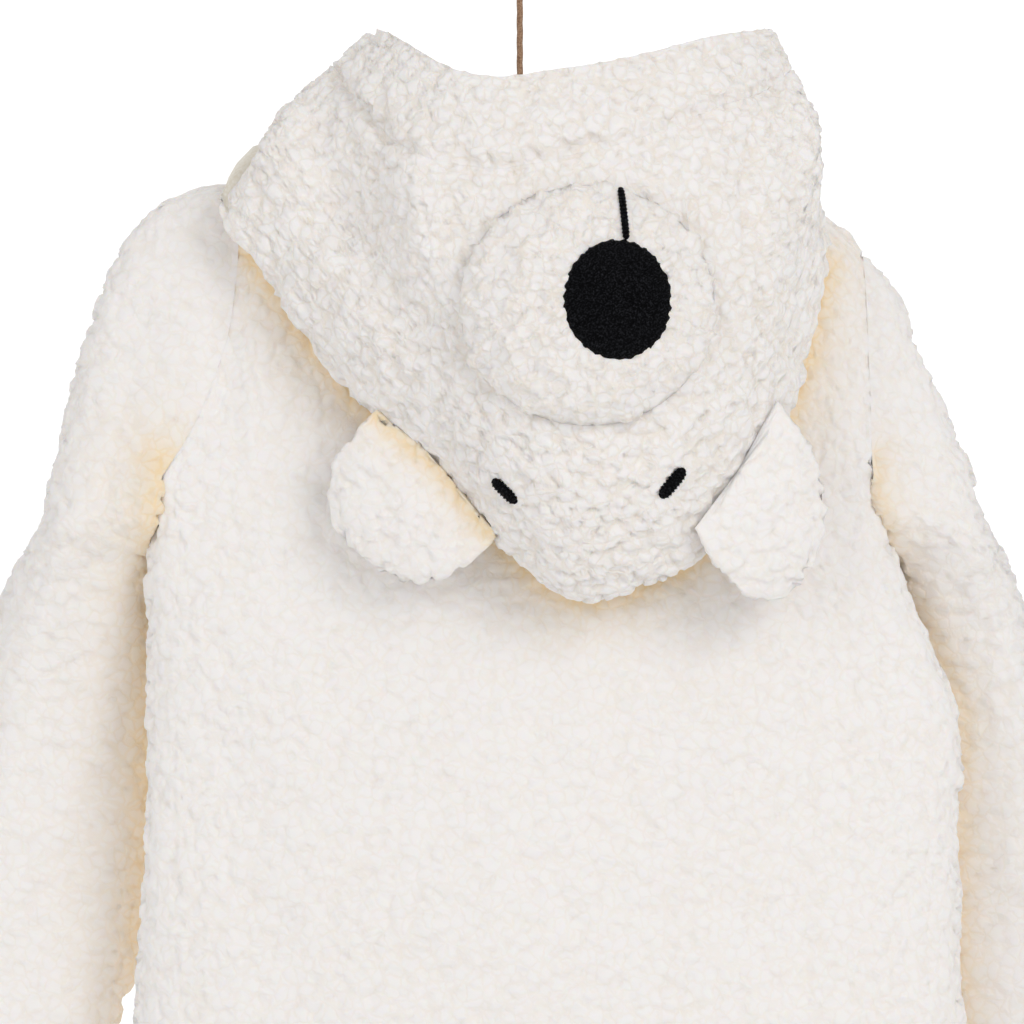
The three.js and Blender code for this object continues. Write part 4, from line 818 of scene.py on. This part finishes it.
# Hood. Three strips of fleece that hang down the back as a folded pouch, sewn to the neckline, and a turned
# rim round the face edge. The bear's face is turned to the beholder, so the crown points down.
HOOD = {                      # round the neck: -1 and 1 are the front edges, 0 the back
    "around": [-1, -0.8, -0.64, -0.5, -0.4, -0.3, -0.2, -0.1, 0, 0.1, 0.2, 0.3, 0.4, 0.5, 0.64, 0.8, 1],
    "crown_x": [-10, -52, -78, -115, -110, -95, -72, -45, -20, 6, 32, 66, 96, 113, 62, 42, 3],
    "crown_y": [-27, -26, -14, 34, 52, 62, 66, 67, 67, 65, 61, 54, 44, 28, -12, -24, -27],
    "crown_z": [-114, -92, -74, -112, -162, -205, -238, -253, -257,
                -238, -208, -177, -136, -103, -76, -92, -114],
    "rim_x": [-9, -60, -90, -97, -88, -72, -52, -32, -12, 8, 26, 40, 50, 57, 65, 46, 2],
    "rim_y": [-30, -27, -10, 20, 44, 60, 70, 75, 77, 76, 70, 58, 42, 20, -6, -25, -30],
    "rim_z": [-106, -76, -52, -41, -41.5, -44, -49.5, -54, -57, -59.5, -56, -48, -42, -41, -49, -73, -106],
    "belly": [-30, -28, -6, 44, 66, 84, 95, 100, 101, 97, 88, 74, 56, 34, -8, -28, -30],
    "hem": [7, 13, 18, 18, 24, 27, 30, 32, 34, 35, 36, 37, 28, 20, 20, 14, 7],
}
HOOD_ROLL, HOOD_STAND, HOOD_CLEAR, HOOD_ABOVE = 7.0, 13.0, 1.2, 6.0
HOOD_BULGE, HEM_BULGE, COLLAR_GROWTH, SEAM_GAP = 7.0, 4.0, 1.25, 0.3
HOOD_KNOTS = 8
RIM_FROM = 7 / 8
RIM_RAISE = 1.6
SEAM_DRAW = 2.6
RIM_LENGTH, RIM_HEIGHT = 430.0, 38.0
CENTRE_HALF = 0.21
HOOD_FOLDS = (
    {"from": (78, -66), "to": (66, -110), "depth": 10, "width": 15},
    {"from": (66, -110), "to": (42, -160), "depth": 7, "width": 14},
    {"from": (40, -84), "to": (38, -130), "depth": -4, "width": 9},
    {"from": (-86, -80), "to": (-85, -118), "depth": 3, "width": 8},
)


def back_y(x, z):
    """How far behind the back's outer surface lies at (x, z)."""
    held = np.minimum(z, TOP_Z)
    return np.where(held > UNDERARM_Z, shoulder_y(x, held), torso_y(body_share(x, held), held, 1))


def ridge_z(x):
    """Height of the shoulder line at x, read from the shoulder slices' outlines."""
    left = np.interp(x, SHOULDERS["left"], SHOULDERS["z"])
    right = np.interp(-x, [-value for value in SHOULDERS["right"]], SHOULDERS["z"])
    return np.where(x > SHOULDERS["left"][0], left, np.where(x < SHOULDERS["right"][0], right, TOP_Z))


def neck_point(around):
    """The hood's seam on the neckline: along the back's top edge up to half the way round, then down the
    fronts' neckline, a quarter of an ellipse."""
    side = np.where(around < 0, -1.0, 1.0)
    neck_x = np.where(side > 0, NECK_LEFT_X, NECK_RIGHT_X)
    turn = np.pi / 2 * (1 - np.minimum(np.abs(around), 0.5) / 0.5)
    middle, half = span(SHOULDERS["left"][0], SHOULDERS["right"][0])
    behind_x = middle + side * half * np.cos(turn)
    behind_y = SHOULDERS["depth"][0] * round_off(np.cos(turn), SHOULDER_SQUARENESS)
    down = np.maximum(np.abs(around) - 0.5, 0) / 0.5 * NECK_END
    front_x = NECK_X + (neck_x - NECK_X) * np.cos(down)
    front_z = TOP_Z - (TOP_Z - NECK_FRONT_Z) * np.sin(down) / math.sin(NECK_END)
    behind = np.abs(around) <= 0.5
    return xyz(np.where(behind, behind_x, front_x), np.where(behind, behind_y, -shoulder_y(front_x, front_z)),
               np.where(behind, TOP_Z, front_z) + SEAM_GAP)


def hood_paths():
    """The cloth's path at each station: up from the neck seam, over, down behind, round the crown edge and up
    again over the face to the rim. Round the sides and front it is one curve of second degree to the rim."""
    around = np.array(HOOD["around"])
    column = {name: np.array(values, dtype=float) for name, values in HOOD.items()}
    neck = neck_point(around)
    crown, rim = (xyz(*(column[f"{edge}_{axis}"] for axis in "xyz")) for edge in ("crown", "rim"))
    lying = smoothstep(np.abs(around), 0.38, 0.5)
    over = xyz(mix(neck[:, 0], crown[:, 0], 0.12), neck[:, 1] + HOOD_ROLL, TOP_Z + HOOD_STAND)
    hang_x = mix(neck[:, 0], crown[:, 0], 0.45)
    hang_z = mix(mix(TOP_Z, crown[:, 2], 0.3), ridge_z(hang_x) + HOOD_ABOVE, lying)
    hang_y = mix(back_y(hang_x, hang_z) + HOOD_CLEAR + 4, neck[:, 1] + HOOD_ROLL * 1.6, lying)
    low_x = mix(neck[:, 0], crown[:, 0], 0.8)
    low_z = mix(mix(TOP_Z, crown[:, 2], 0.78), ridge_z(low_x) + HOOD_ABOVE, lying)
    low_y = mix(back_y(low_x, low_z) + HOOD_CLEAR, crown[:, 1] * 0.65, lying)
    cheek = mix(crown, rim, 0.2)
    cheek[:, 1] = mix(column["crown_y"], column["belly"], 0.86)
    face = mix(crown, rim, 0.5)
    face[:, 1] = column["belly"]
    face[:, 0] += np.sign(face[:, 0] - SUIT_X) * HOOD_BULGE * np.minimum(1, np.abs(around) * 2)
    share = column["hem"] / np.linalg.norm(rim - face, axis=1)
    hem = rim + (face - rim) * share[:, None] + [0, HEM_BULGE, 0]
    pouch = np.stack([neck, over, xyz(hang_x, hang_y, hang_z), xyz(low_x, low_y, low_z), crown, cheek, face,
                      hem, rim], axis=1)
    grown = (COLLAR_GROWTH ** np.arange(HOOD_KNOTS + 1) - 1) / (COLLAR_GROWTH ** HOOD_KNOTS - 1)
    t = grown[None, :, None]
    bow = (1 - t) ** 2 * neck[:, None] + 2 * t * (1 - t) * crown[:, None] + t ** 2 * rim[:, None]
    return np.where((np.abs(around) > 0.55)[:, None, None], bow, pouch)


HOOD_PATHS = hood_paths()


def four_weights(t):
    """Weights of the four points round a stretch of a smooth line that runs through all its points."""
    return (-0.5 * t + t * t - 0.5 * t ** 3, 1 - 2.5 * t * t + 1.5 * t ** 3,
            0.5 * t + 2 * t * t - 1.5 * t ** 3, -0.5 * t * t + 0.5 * t ** 3)


def hood_point(around, up, folds=True):
    """A point of the hood: the smooth surface through all the stations' paths, around from -1 to 1 and up
    from 0 at the neck seam to 1 at the rim, kept clear of the back, with the face's folds sunk into it."""
    around, up = np.broadcast_arrays(np.clip(around, -1, 1), np.clip(up, 0, 1))
    at = np.interp(around, HOOD["around"], np.arange(len(HOOD["around"])))
    knot = up * HOOD_KNOTS
    i = np.clip(np.floor(at), 0, len(HOOD["around"]) - 2).astype(int)
    j = np.clip(np.floor(knot), 0, HOOD_KNOTS - 1).astype(int)
    point = np.zeros(around.shape + (3,))
    seam = np.zeros(around.shape + (3,))
    for a, share_a in enumerate(four_weights(at - i)):
        station = np.clip(i + a - 1, 0, len(HOOD["around"]) - 1)
        seam += share_a[..., None] * HOOD_PATHS[station, 0]
        for b, share_b in enumerate(four_weights(knot - j)):
            point += (share_a * share_b)[..., None] * HOOD_PATHS[station, np.clip(j + b - 1, 0, HOOD_KNOTS)]
    point += (neck_point(around) - seam) * (np.clip(1 - knot, 0, 1) ** 2)[..., None]
    lies = (knot > 1) & (knot < 5) & (point[..., 1] > 0)
    clear = np.maximum(point[..., 1], back_y(point[..., 0], point[..., 2]) + HOOD_CLEAR)
    point[..., 1] = np.where(lies, clear, point[..., 1])
    if folds:
        on_face = smoothstep(up, 0.6, 0.7) * (1 - smoothstep(up, 0.95, 1.0))
        point[..., 1] -= on_face * crease_depth(point[..., 0], point[..., 2], HOOD_FOLDS)
    return point


def hood_normal(around, up):
    """The hood's outward direction, from the differences of its two parameters."""
    step = 0.006
    along = hood_point(around + step, up) - hood_point(around - step, up)
    across = hood_point(around, up + step) - hood_point(around, up - step)
    normal = -np.cross(along, across)
    return normal / np.maximum(np.linalg.norm(normal, axis=-1, keepdims=True), 1e-9)


def on_crown(around):
    """1 where the hood hangs as a pouch, fading to 0 where it turns to the front edges."""
    return smoothstep(0.5 - np.abs(around), 0.0, 0.07)


def hood_grids(around_from, around_to, width, fine):
    """One strip of the hood, from the neck seam to the rim's seam: coarse where it lies on the back, and
    drawn in by the stitches along the rim's seam."""
    hidden = np.linspace(0, 0.42, max(10, round(150 / (2.2 * fine))))
    shown = np.linspace(0.42, RIM_FROM, max(12, round(205 / fine)))
    up = np.concatenate([hidden, shown[1:]])[:, None]
    around = np.linspace(around_from, around_to, max(6, round(width / fine)))[None, :]
    drawn_in = SEAM_DRAW * np.exp(-((RIM_FROM - up) / 0.014) ** 2) * on_crown(around)
    return [(hood_point(around, up) - hood_normal(around, up) * drawn_in[..., None], False)]


def rim_grids(fine, _coarse):
    """The turned hem round the face edge: a band raised by a double layer, rolled over its free edge."""
    up = np.linspace(RIM_FROM, 1, max(6, round(RIM_HEIGHT / fine)))[:, None]
    around = np.linspace(-1, 1, max(30, round(RIM_LENGTH / fine)))[None, :]
    point = hood_point(around, up)
    way = (up - RIM_FROM) / (1 - RIM_FROM)
    raise_by = ((RIM_RAISE + SEAM_DRAW) * smoothstep(way, 0.0, 0.14) - SEAM_DRAW) * on_crown(around)
    return [(point + hood_normal(around, up) * raise_by[..., None], False)]


def on_face_edge(points):
    """True within 1 mm of the hood's free edge round the face."""
    steps = round(RIM_LENGTH / 1.25)
    edge = hood_point(np.linspace(-1, 1, steps), np.ones(steps))
    nearest = np.full(len(points), 1e9)
    for place in edge:
        nearest = np.minimum(nearest, ((points - place) ** 2).sum(axis=1))
    return nearest < 1.0


for node, start, stop, width, flat, area in (
        ("hood_right", -1.0, -CENTRE_HALF, 190, (0.16, 0.34), 0.025),
        ("hood_centre", -CENTRE_HALF, CENTRE_HALF, 110, (0.11, 0.37), 0.038),
        ("hood_left", CENTRE_HALF, 1.0, 190, (0.16, 0.34), 0.024)):
    add_fleece(node, lambda fine, _, row=(start, stop, width): hood_grids(*row, fine), 1.25, 3.0,
               rise=0.75)
add_fleece("hood_rim", rim_grids, 1.25, 3.0, rise=0.8,
           free=on_face_edge)

# Muzzle. An oval of fleece sewn over the face with a little padding under it, highest at its middle.
# Its edge turns under, so that the pile rolls down to the hood all round.
MUZZLE_X, MUZZLE_Z = -25.5, -146.0
MUZZLE_WIDTH, MUZZLE_HEIGHT = 96.0, 91.0
MUZZLE_DEPTH, MUZZLE_EDGE, LIE_GAP = 14.0, 2.5, 0.6
NOSE_X, NOSE_Z, NOSE_WIDTH, NOSE_HEIGHT = -36.0, -146.0, 38.0, 43.0


def face_at(x, z):
    """The hood's face under a point of the view from behind: Newton's steps on both parameters of the hood.
    Returns the point and the outward direction there."""
    around, up = np.zeros(np.shape(x)), np.full(np.shape(x), 0.75)
    for _ in range(14):
        here = hood_point(around, up)
        by_around = (hood_point(around + 0.004, up) - hood_point(around - 0.004, up)) / 0.008
        by_up = (hood_point(around, up + 0.004) - hood_point(around, up - 0.004)) / 0.008
        area = by_around[..., 0] * by_up[..., 2] - by_up[..., 0] * by_around[..., 2]
        off_x, off_z = x - here[..., 0], z - here[..., 2]
        step_up = np.clip((off_z * by_around[..., 0] - off_x * by_around[..., 2]) / area, -0.05, 0.05)
        around = around + np.clip((off_x * by_up[..., 2] - off_z * by_up[..., 0]) / area, -0.1, 0.1)
        up = np.clip(up + step_up, 0.52, 0.995)
    return hood_point(around, up), hood_normal(around, up)


def muzzle_height(share):
    """How high the muzzle stands at a share of the way from its middle to its edge."""
    return MUZZLE_EDGE + (MUZZLE_DEPTH - MUZZLE_EDGE) * np.maximum(0, 1 - share ** 2.6) ** 0.75


def disc(middle_x_at, middle_z_at, width, height, rings, steps, floor_rings=4):
    """Round patch over a place of the view: rings from its middle out to its edge, and back below to the
    middle. Returns x, z, the share of the way out, and 1 on top or 0 below."""
    share = np.concatenate([np.linspace(0, 1, rings), np.linspace(1, 0, floor_rings)[1:]])[:, None]
    top = np.concatenate([np.ones(rings), np.zeros(floor_rings - 1)])[:, None]
    angle = np.linspace(0, 2 * np.pi, steps + 1)[None, :]
    x = middle_x_at + width / 2 * share * np.cos(angle)
    z = middle_z_at + height / 2 * share * np.sin(angle)
    return x, z, share + 0 * angle, top + 0 * angle


x, z, share, top = disc(MUZZLE_X, MUZZLE_Z, MUZZLE_WIDTH, MUZZLE_HEIGHT, 42, 250)
point, normal = face_at(x, z)
lifted = LIE_GAP + muzzle_height(share) * top - 2.6 * smoothstep(share, 0.965, 1.0)
points, faces = weld([(point + normal * lifted[..., None], False)])
under_nose = np.hypot((points[:, 0] - NOSE_X) / NOSE_WIDTH, (points[:, 2] - NOSE_Z) / NOSE_HEIGHT) * 2
mouth_line = {"from": (-37.5, -103), "to": (-39, -126), "depth": 1, "width": 2.4}
on_mouth = crease_depth(points[:, 0], points[:, 2], (mouth_line,))
pressed = smoothstep(under_nose, 0.9, 1.12) * (1 - np.minimum(1, 1.3 * on_mouth))
plain, height = fleece_pile(points, faces, PILE_LIFT)
muzzle = add_pile("muzzle", mix(points, plain, pressed[:, None]), faces, height, FLEECE)
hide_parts("muzzle")

# Ears. Two round ears, each of two layers of fleece sewn and turned with a thin filling. They are caught in
# the seam at the crown's corners and hang down the back, so their faces lie almost flat.
EARS = (
    {"node": "ear_left", "around": (0.11, 0.27), "up": (0.52, 0.52), "clear": 2.4, "out": (0.7, -0.2, -0.7),
     "length": 40, "widen": 0, "thick": 8, "cup": 3, "drop": 4},
    {"node": "ear_right", "around": (-0.32, -0.18), "up": (0.57, 0.555), "clear": 4.1,
     "out": (-0.54, -0.25, -0.84), "length": 46, "widen": 0.05, "thick": 8, "cup": 4, "drop": 6},
)
ROOT_UNDER = -0.07              # the root goes this share of the ear's length in under the hood
ROOT_PRESSED = 0.33             # and the seam presses it to this share of the thickness


def ear_point(ear, across, down):
    """The ear's middle surface: its root follows the hood between two stations, its width swells and then
    rounds off as (1 - down^3)^0.45, and it leans out and down with a slight cup."""
    def root(side):
        share = (side + 1) / 2
        around, up = mix(*ear["around"], share), mix(*ear["up"], share)
        return hood_point(around, up) + hood_normal(around, up) * ear["clear"]

    start, end = root(np.array(-1.0)), root(np.array(1.0))
    middle, half = (start + end) / 2, (end - start) / 2
    out = np.array(ear["out"]) / np.linalg.norm(ear["out"])
    swell = 1 + ear["widen"] * np.sin(np.pi * np.minimum(1, down * 0.9))
    width = np.maximum(0.12, swell * np.maximum(0, 1 - down ** 3) ** 0.45)
    point = middle + half * (across * width)[..., None] + out * (ear["length"] * down)[..., None]
    point = point + (root(across) - middle - half * across[..., None]) * ((1 - down) ** 3)[..., None]
    point[..., 1] += ear["cup"] * down * (1 - across ** 2 * 0.8) - ear["drop"] * down ** 2
    resting = back_y(point[..., 0], point[..., 2]) + ear["thick"] / 2 + HOOD_CLEAR
    point[..., 1] = np.maximum(point[..., 1], resting)
    return point


def ear_shell(ear, columns, rows):
    """Closed pillow round the middle surface: one grid runs over the front, round the edge and back behind.
    Its thickness dies away towards the edges as the square root of (1 - across^4)(1 - down^4), and the root
    is pressed to a third of it by the seam."""
    way = np.linspace(0, 2, 2 * columns)[None, :]
    across = np.where(way < 1, 2 * way - 1, 3 - 2 * way) * np.ones((rows, 1))
    down = np.linspace(ROOT_UNDER, 0.99, rows)[:, None] * np.ones_like(across)
    side = np.where(way < 1, 1.0, -1.0)
    point = ear_point(ear, across, down)
    step = 0.01
    normal = np.cross(ear_point(ear, across + step, down) - ear_point(ear, across - step, down),
                      ear_point(ear, across, down + step / 2) - ear_point(ear, across, down - step / 2))
    normal /= np.maximum(np.linalg.norm(normal, axis=-1, keepdims=True), 1e-9)
    normal *= np.sign(normal[..., 1:2].mean())
    bulk = ear["thick"] / 2 * np.sqrt(np.maximum(0, (1 - across ** 4) * (1 - down ** 4)))
    bulk = bulk * mix(ROOT_PRESSED, 1, smoothstep(down, ROOT_UNDER, 0.35))
    point = point + normal * (side * np.maximum(bulk, 0.05))[..., None]
    tip = point[-1].mean(axis=0)
    grid = np.concatenate([point, np.broadcast_to(tip, point[-1:].shape)])
    base = point[0].mean(axis=0)
    grid = np.concatenate([np.broadcast_to(base, point[:1].shape), grid])
    return np.concatenate([grid, grid[:, :1]], axis=1)


for ear in EARS:
    points, faces = outwards(*weld([(ear_shell(ear, 58, 48), False)]))
    moved, height = fleece_pile(points, faces, EAR_LIFT, rise=0.5)
    piece = add_pile(ear["node"], moved, faces, height, SMOOTH_FLEECE)
    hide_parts(ear["node"])

# Face. Nose, mouth and eyes are embroidered straight through the pile in black thread: the nose in dense
# rows, the others as short thick strokes of satin stitch.
STITCH_RISE = 1.5
MOUTH = {"node": "mouth", "from": (-37.5, -103.0), "to": (-39.0, -124.5), "width": 2.6, "blunt": 14,
         "on": "muzzle"}
EYES = (
    {"node": "eye_left", "from": (10.0, -212.0), "to": (1.0, -221.0), "width": 3.8, "blunt": 4, "on": "hood"},
    {"node": "eye_right", "from": (-53.0, -219.0), "to": (-62.0, -208.0), "width": 4.8, "blunt": 4,
     "on": "hood"},
)


def muzzle_top(x, z):
    """The muzzle's surface under a point of the view, and the outward direction there."""
    point, normal = face_at(x, z)
    share = np.minimum(1, np.hypot((x - MUZZLE_X) / (MUZZLE_WIDTH / 2), (z - MUZZLE_Z) / (MUZZLE_HEIGHT / 2)))
    return point + normal * (LIE_GAP + muzzle_height(share))[..., None], normal


def thread_material():
    """Black embroidery thread: rows of stitches lie across the nose, each a fine rounded thread with a soft
    gleam, with short gaps where one stitch ends and the next begins."""
    material, nodes, link, shader = new_material("black_thread", 0.55)
    place = add_node(nodes, "TexCoord")
    lean = add_node(nodes, "Mapping", {"Rotation": (0, 0.35, 0)})
    rows = add_node(nodes, "TexWave", {"Scale": 560.0, "Distortion": 1.2, "Detail Scale": 3.0},
                    bands_direction="Z")
    ends = add_node(nodes, "TexNoise", {"Scale": 1500.0})
    ramp = ramp_node(nodes, (0.48, (0.001, 0.001, 0.0015)), (0.8, (0.028, 0.029, 0.034)))
    both = add_node(nodes, "Math", {1: 0.6}, operation="MULTIPLY_ADD")
    bump = add_node(nodes, "Bump", {"Strength": 0.9, "Distance": 0.0004})
    wire(link, (place, "Object", lean, "Vector"), (lean, "Vector", rows, "Vector"),
         (place, "Object", ends, "Vector"), (rows, "Fac", both, 0), (ends, "Fac", both, 2),
         (ends, "Fac", ramp, "Fac"), (ramp, "Color", shader, "Base Color"), (both, "Value", bump, "Height"),
         (bump, "Normal", shader, "Normal"))
    shader.inputs["Specular IOR Level"].default_value = 0.05
    return material


THREAD = thread_material()

x, z, share, top = disc(NOSE_X, NOSE_Z, NOSE_WIDTH, NOSE_HEIGHT, 26, 150)
turn = np.arctan2(z - NOSE_Z, x - NOSE_X)
ragged = 1 + share ** 3 * (0.012 * np.sin(31 * turn) + 0.008 * np.sin(9 * x + 5 * z))
x, z = NOSE_X + (x - NOSE_X) * ragged, NOSE_Z + (z - NOSE_Z) * ragged
point, normal = muzzle_top(x, z)
raised = 0.3 + STITCH_RISE * top * np.sqrt(np.maximum(0, 1 - share ** 10)) + 0.12 * top * np.sin(z * 5.0)
nose = add_mesh("nose_stitches", *weld([(point + normal * raised[..., None], False)]))
dress(nose, "nose", THREAD)


def stroke(row):
    """A stroke of satin stitch: a half round bar along its line, with a ripple for every stitch across it,
    rounded off at its two ends by (1 - |2 along - 1|^blunt)^0.5."""
    (x0, z0), (x1, z1) = row["from"], row["to"]
    length = math.hypot(x1 - x0, z1 - z0)
    along = np.linspace(0, 1, max(16, round(length * 4)))[:, None]
    turn = np.linspace(0, 2 * np.pi, 25)[None, :]
    taper = np.maximum(0.02, 1 - np.abs(2 * along - 1) ** row["blunt"]) ** 0.5
    taper = taper * (1 + 0.12 * np.sin(along * length * 4.1) + 0.09 * np.sin(along * length * 9.7 + 1))
    across = row["width"] / 2 * taper * np.cos(turn)
    x = x0 + (x1 - x0) * along - (z1 - z0) / length * across
    z = z0 + (z1 - z0) * along + (x1 - x0) / length * across
    point, normal = (muzzle_top if row["on"] == "muzzle" else face_at)(x, z)
    above = np.sin(turn) > 0
    rise = 0.5 + np.where(above, STITCH_RISE * taper, 0.5) * np.sin(turn)
    return outwards(*weld([(point + normal * rise[..., None], False)]))


for row in (MOUTH, *EYES):
    dress(add_mesh(f"{row['node']}_stitches", *stroke(row)), row["node"], THREAD)

# Fastening. A plain woven band sewn down the middle of the front, and five turned buttons on it, each with a
# rim, a dished face and four holes crossed by thread. They are shown done up.
BAND_WIDTH, BAND_THICK, BAND_TOP_Z, BAND_END_Z = 30.0, 2.2, -130.0, -505.0
BUTTON_D, BUTTON_THICK, BUTTON_COUNT, BUTTON_FIRST_Z, BUTTON_LAST_Z = 18.0, 3.2, 5, -150.0, -470.0
HOLE_OUT, HOLE_R, STITCH_INSET = 3.0, 1.1, 3.0


def front_at(x, z):
    """The fronts' outer surface at (x, z): its point and outward direction, from differences."""
    def surface(x_at, z_at):
        return mix(-shoulder_y(x_at, z_at), torso_y(body_share(x_at, z_at), z_at, -1), below_arms(z_at))

    y = surface(x, z)
    slope_x = (surface(x + 1, z) - surface(x - 1, z)) / 2
    slope_z = (surface(x, z + 1) - surface(x, z - 1)) / 2
    normal = xyz(slope_x, -np.ones_like(y), slope_z)
    return xyz(x, y, z), normal / np.linalg.norm(normal, axis=-1, keepdims=True)


def band_shell():
    """Closed band: over its face, round one long edge, back along the underside. Two rows of stitches dent it
    along both edges, and it swells a little between them."""
    z = np.linspace(BAND_TOP_Z, BAND_END_Z, 260)[:, None]
    way = np.linspace(0, 2, 61)[None, :]
    across = np.where(way < 1, 2 * way - 1, 3 - 2 * way) * BAND_WIDTH / 2
    point, normal = front_at(middle_x(z) + across + 0 * z, z + 0 * across)
    inset = np.abs(np.abs(across) - (BAND_WIDTH / 2 - STITCH_INSET))
    dent = 0.7 * np.exp(-(inset / 0.9) ** 2) * (0.75 + 0.25 * np.cos(z * 2 * np.pi / 3.2))
    edge = np.sqrt(np.maximum(0, 1 - (np.abs(across) / (BAND_WIDTH / 2)) ** 12))
    out = LIE_GAP + np.where(way < 1, BAND_THICK * edge - dent, 0.0)
    grid = point + normal * out[..., None]
    ends = [np.broadcast_to(row.mean(axis=0), row.shape)[None] for row in (grid[0], grid[-1])]
    return np.concatenate([ends[0], grid, ends[1]])


def woven_material():
    """Cream cotton weave: warp and weft as two sets of fine waves in the bump, with slubs in the colour."""
    material, nodes, link, shader = new_material("cream_weave", 0.8)
    place = add_node(nodes, "TexCoord")
    warp, weft = (add_node(nodes, "TexWave", {"Scale": 420.0, "Distortion": 0.6}, bands_direction=direction)
                  for direction in "XZ")
    crossed = add_node(nodes, "Math", operation="MAXIMUM")
    slub = add_node(nodes, "TexNoise", {"Scale": 260.0})
    ramp = ramp_node(nodes, (0, (0.78, 0.72, 0.61)), (1, (0.90, 0.86, 0.78)))
    bump = add_node(nodes, "Bump", {"Strength": 0.35, "Distance": 0.0003})
    wire(link, (place, "Object", warp, "Vector"), (place, "Object", weft, "Vector"),
         (place, "Object", slub, "Vector"), (warp, "Fac", crossed, 0), (weft, "Fac", crossed, 1),
         (slub, "Fac", ramp, "Fac"), (ramp, "Color", shader, "Base Color"),
         (crossed, "Value", bump, "Height"), (bump, "Normal", shader, "Normal"))
    return material


band = add_mesh("placket_band", *outwards(*weld([(band_shell(), False)])))
dress(band, "placket", woven_material())


def button_shell(seat, normal):
    """Lathe profile (flat back, rounded rim, dished face) round the seat's normal, with the four holes sunk
    into the face as pits: depth times exp(-(distance / hole radius)^4)."""
    share = np.concatenate([np.linspace(0, 1, 26), np.linspace(1, 0, 5)[1:]])[:, None]
    top = np.concatenate([np.ones(26), np.zeros(4)])[:, None]
    angle = np.linspace(0, 2 * np.pi, 65)[None, :]
    radius = BUTTON_D / 2 * share
    across, up = radius * np.cos(angle), radius * np.sin(angle)
    rim = BUTTON_THICK * np.sqrt(np.maximum(0, 1 - np.maximum(0, (share - 0.86) / 0.14) ** 2))
    dish = 1.1 * (1 - smoothstep(share, 0.62, 0.82))
    height = np.where(top > 0, rim - dish, 0.0) + 0 * angle
    for corner in np.arange(4) * np.pi / 2 + np.pi / 4:
        away = np.hypot(across - HOLE_OUT * np.cos(corner), up - HOLE_OUT * np.sin(corner))
        height = height - np.where(top > 0, 1.6 * np.exp(-(away / HOLE_R) ** 4), 0.0)
    side = np.cross(normal, [0.0, 0.0, 1.0])
    side /= np.linalg.norm(side)
    rise = np.cross(side, normal)
    grid = seat + across[..., None] * side + up[..., None] * rise + height[..., None] * normal
    way = np.linspace(-1, 1, 14)[:, None]
    threads = []
    for turn in (np.pi / 4, -np.pi / 4):
        over = seat + normal * 2.35 + (side * np.cos(turn) + rise * np.sin(turn)) * way * HOLE_OUT
        threads.append(rope(over - normal * way ** 8 * 0.9, 0.8, 2.0, around=8))
    return outwards(*weld([(grid, False)])), threads


cream_thread = grained_material("cream_thread", 0.7, {"Scale": 1800.0}, (0, (0.62, 0.55, 0.42)),
                                (1, (0.85, 0.80, 0.70)))
for index, z in enumerate(np.linspace(BUTTON_FIRST_Z, BUTTON_LAST_Z, BUTTON_COUNT)):
    seat, normal = front_at(np.array(middle_x(z)), np.array(z))
    shell, threads = button_shell(seat + normal * (2 * LIE_GAP + BAND_THICK), normal)
    name = f"button_{index + 1}"
    dress(add_mesh(f"{name}_turned", *shell), name, beech)
    for number, strand in enumerate(threads):
        thread = add_mesh(f"{name}_thread_{number + 1}", *strand)
        thread.data.materials.append(cream_thread)

# Painted shade in the gaps. Where one piece's edge hangs close over another, the pile near it is painted
# amber, a painted shade that stands for the light
# # which reaches it through fleece. The attribute of this painted shade is 0 to 1 by the distance, seen from
# behind, to the edge above it.
def edge_painted_shade(points, edge, deep, near, far):
    """The painted amber shade at each point: deep exp(-(d / near)^2) + 0.25 exp(-(d / far)^2), with d its
    distance in x and z to the nearest of the edge's points."""
    nearest = np.full(len(points), 1e9, dtype=np.float32)
    for x_at, z_at in edge:
        nearest = np.minimum(nearest, (points[:, 0] - x_at) ** 2 + (points[:, 2] - z_at) ** 2)
    return deep * np.exp(-nearest / near ** 2) + 0.25 * np.exp(-nearest / far ** 2)


way = np.linspace(-0.46, 0.46, 110)
crown = hood_point(way, np.full(way.shape, 4 / HOOD_KNOTS), folds=False)
crown_edge = crown[:, [0, 2]]
body_z = np.linspace(-205, -455, 90)
body_edges = [np.stack([between(BODY, side, body_z), body_z], axis=-1) for side in ("left", "right")]
# For each pile, the edge whose painted shade falls on it, with its near strength and its near and far widths.
shade_casting_edges = {
    "back_pile": (crown_edge, 0.6, 5.0, 16.0),
    "sleeve_left_pile": (body_edges[0], 0.5, 8.0, 22.0),
    "sleeve_right_pile": (body_edges[1], 0.3, 5.0, 12.0),
    "ear_left_pile": (crown_edge, 0.5, 4.0, 10.0),
}
for piece in [one for one in bpy.data.objects if one.name.endswith("_pile")]:
    places = np.empty(len(piece.data.vertices) * 3, dtype=np.float32)
    piece.data.vertices.foreach_get("co", places)
    places = places.reshape(-1, 3) / MM
    painted_shade_amount = 0 * places[:, 0]
    if piece.name in shade_casting_edges:
        painted_shade_amount = edge_painted_shade(places, *shade_casting_edges[piece.name])
    # On the back, only the outer side takes the painted shade.
    if piece.name == "back_pile":
        painted_shade_amount = painted_shade_amount * (places[:, 1] > 0)
    add_attribute(piece, "amber_shade", np.clip(painted_shade_amount, 0, 1))
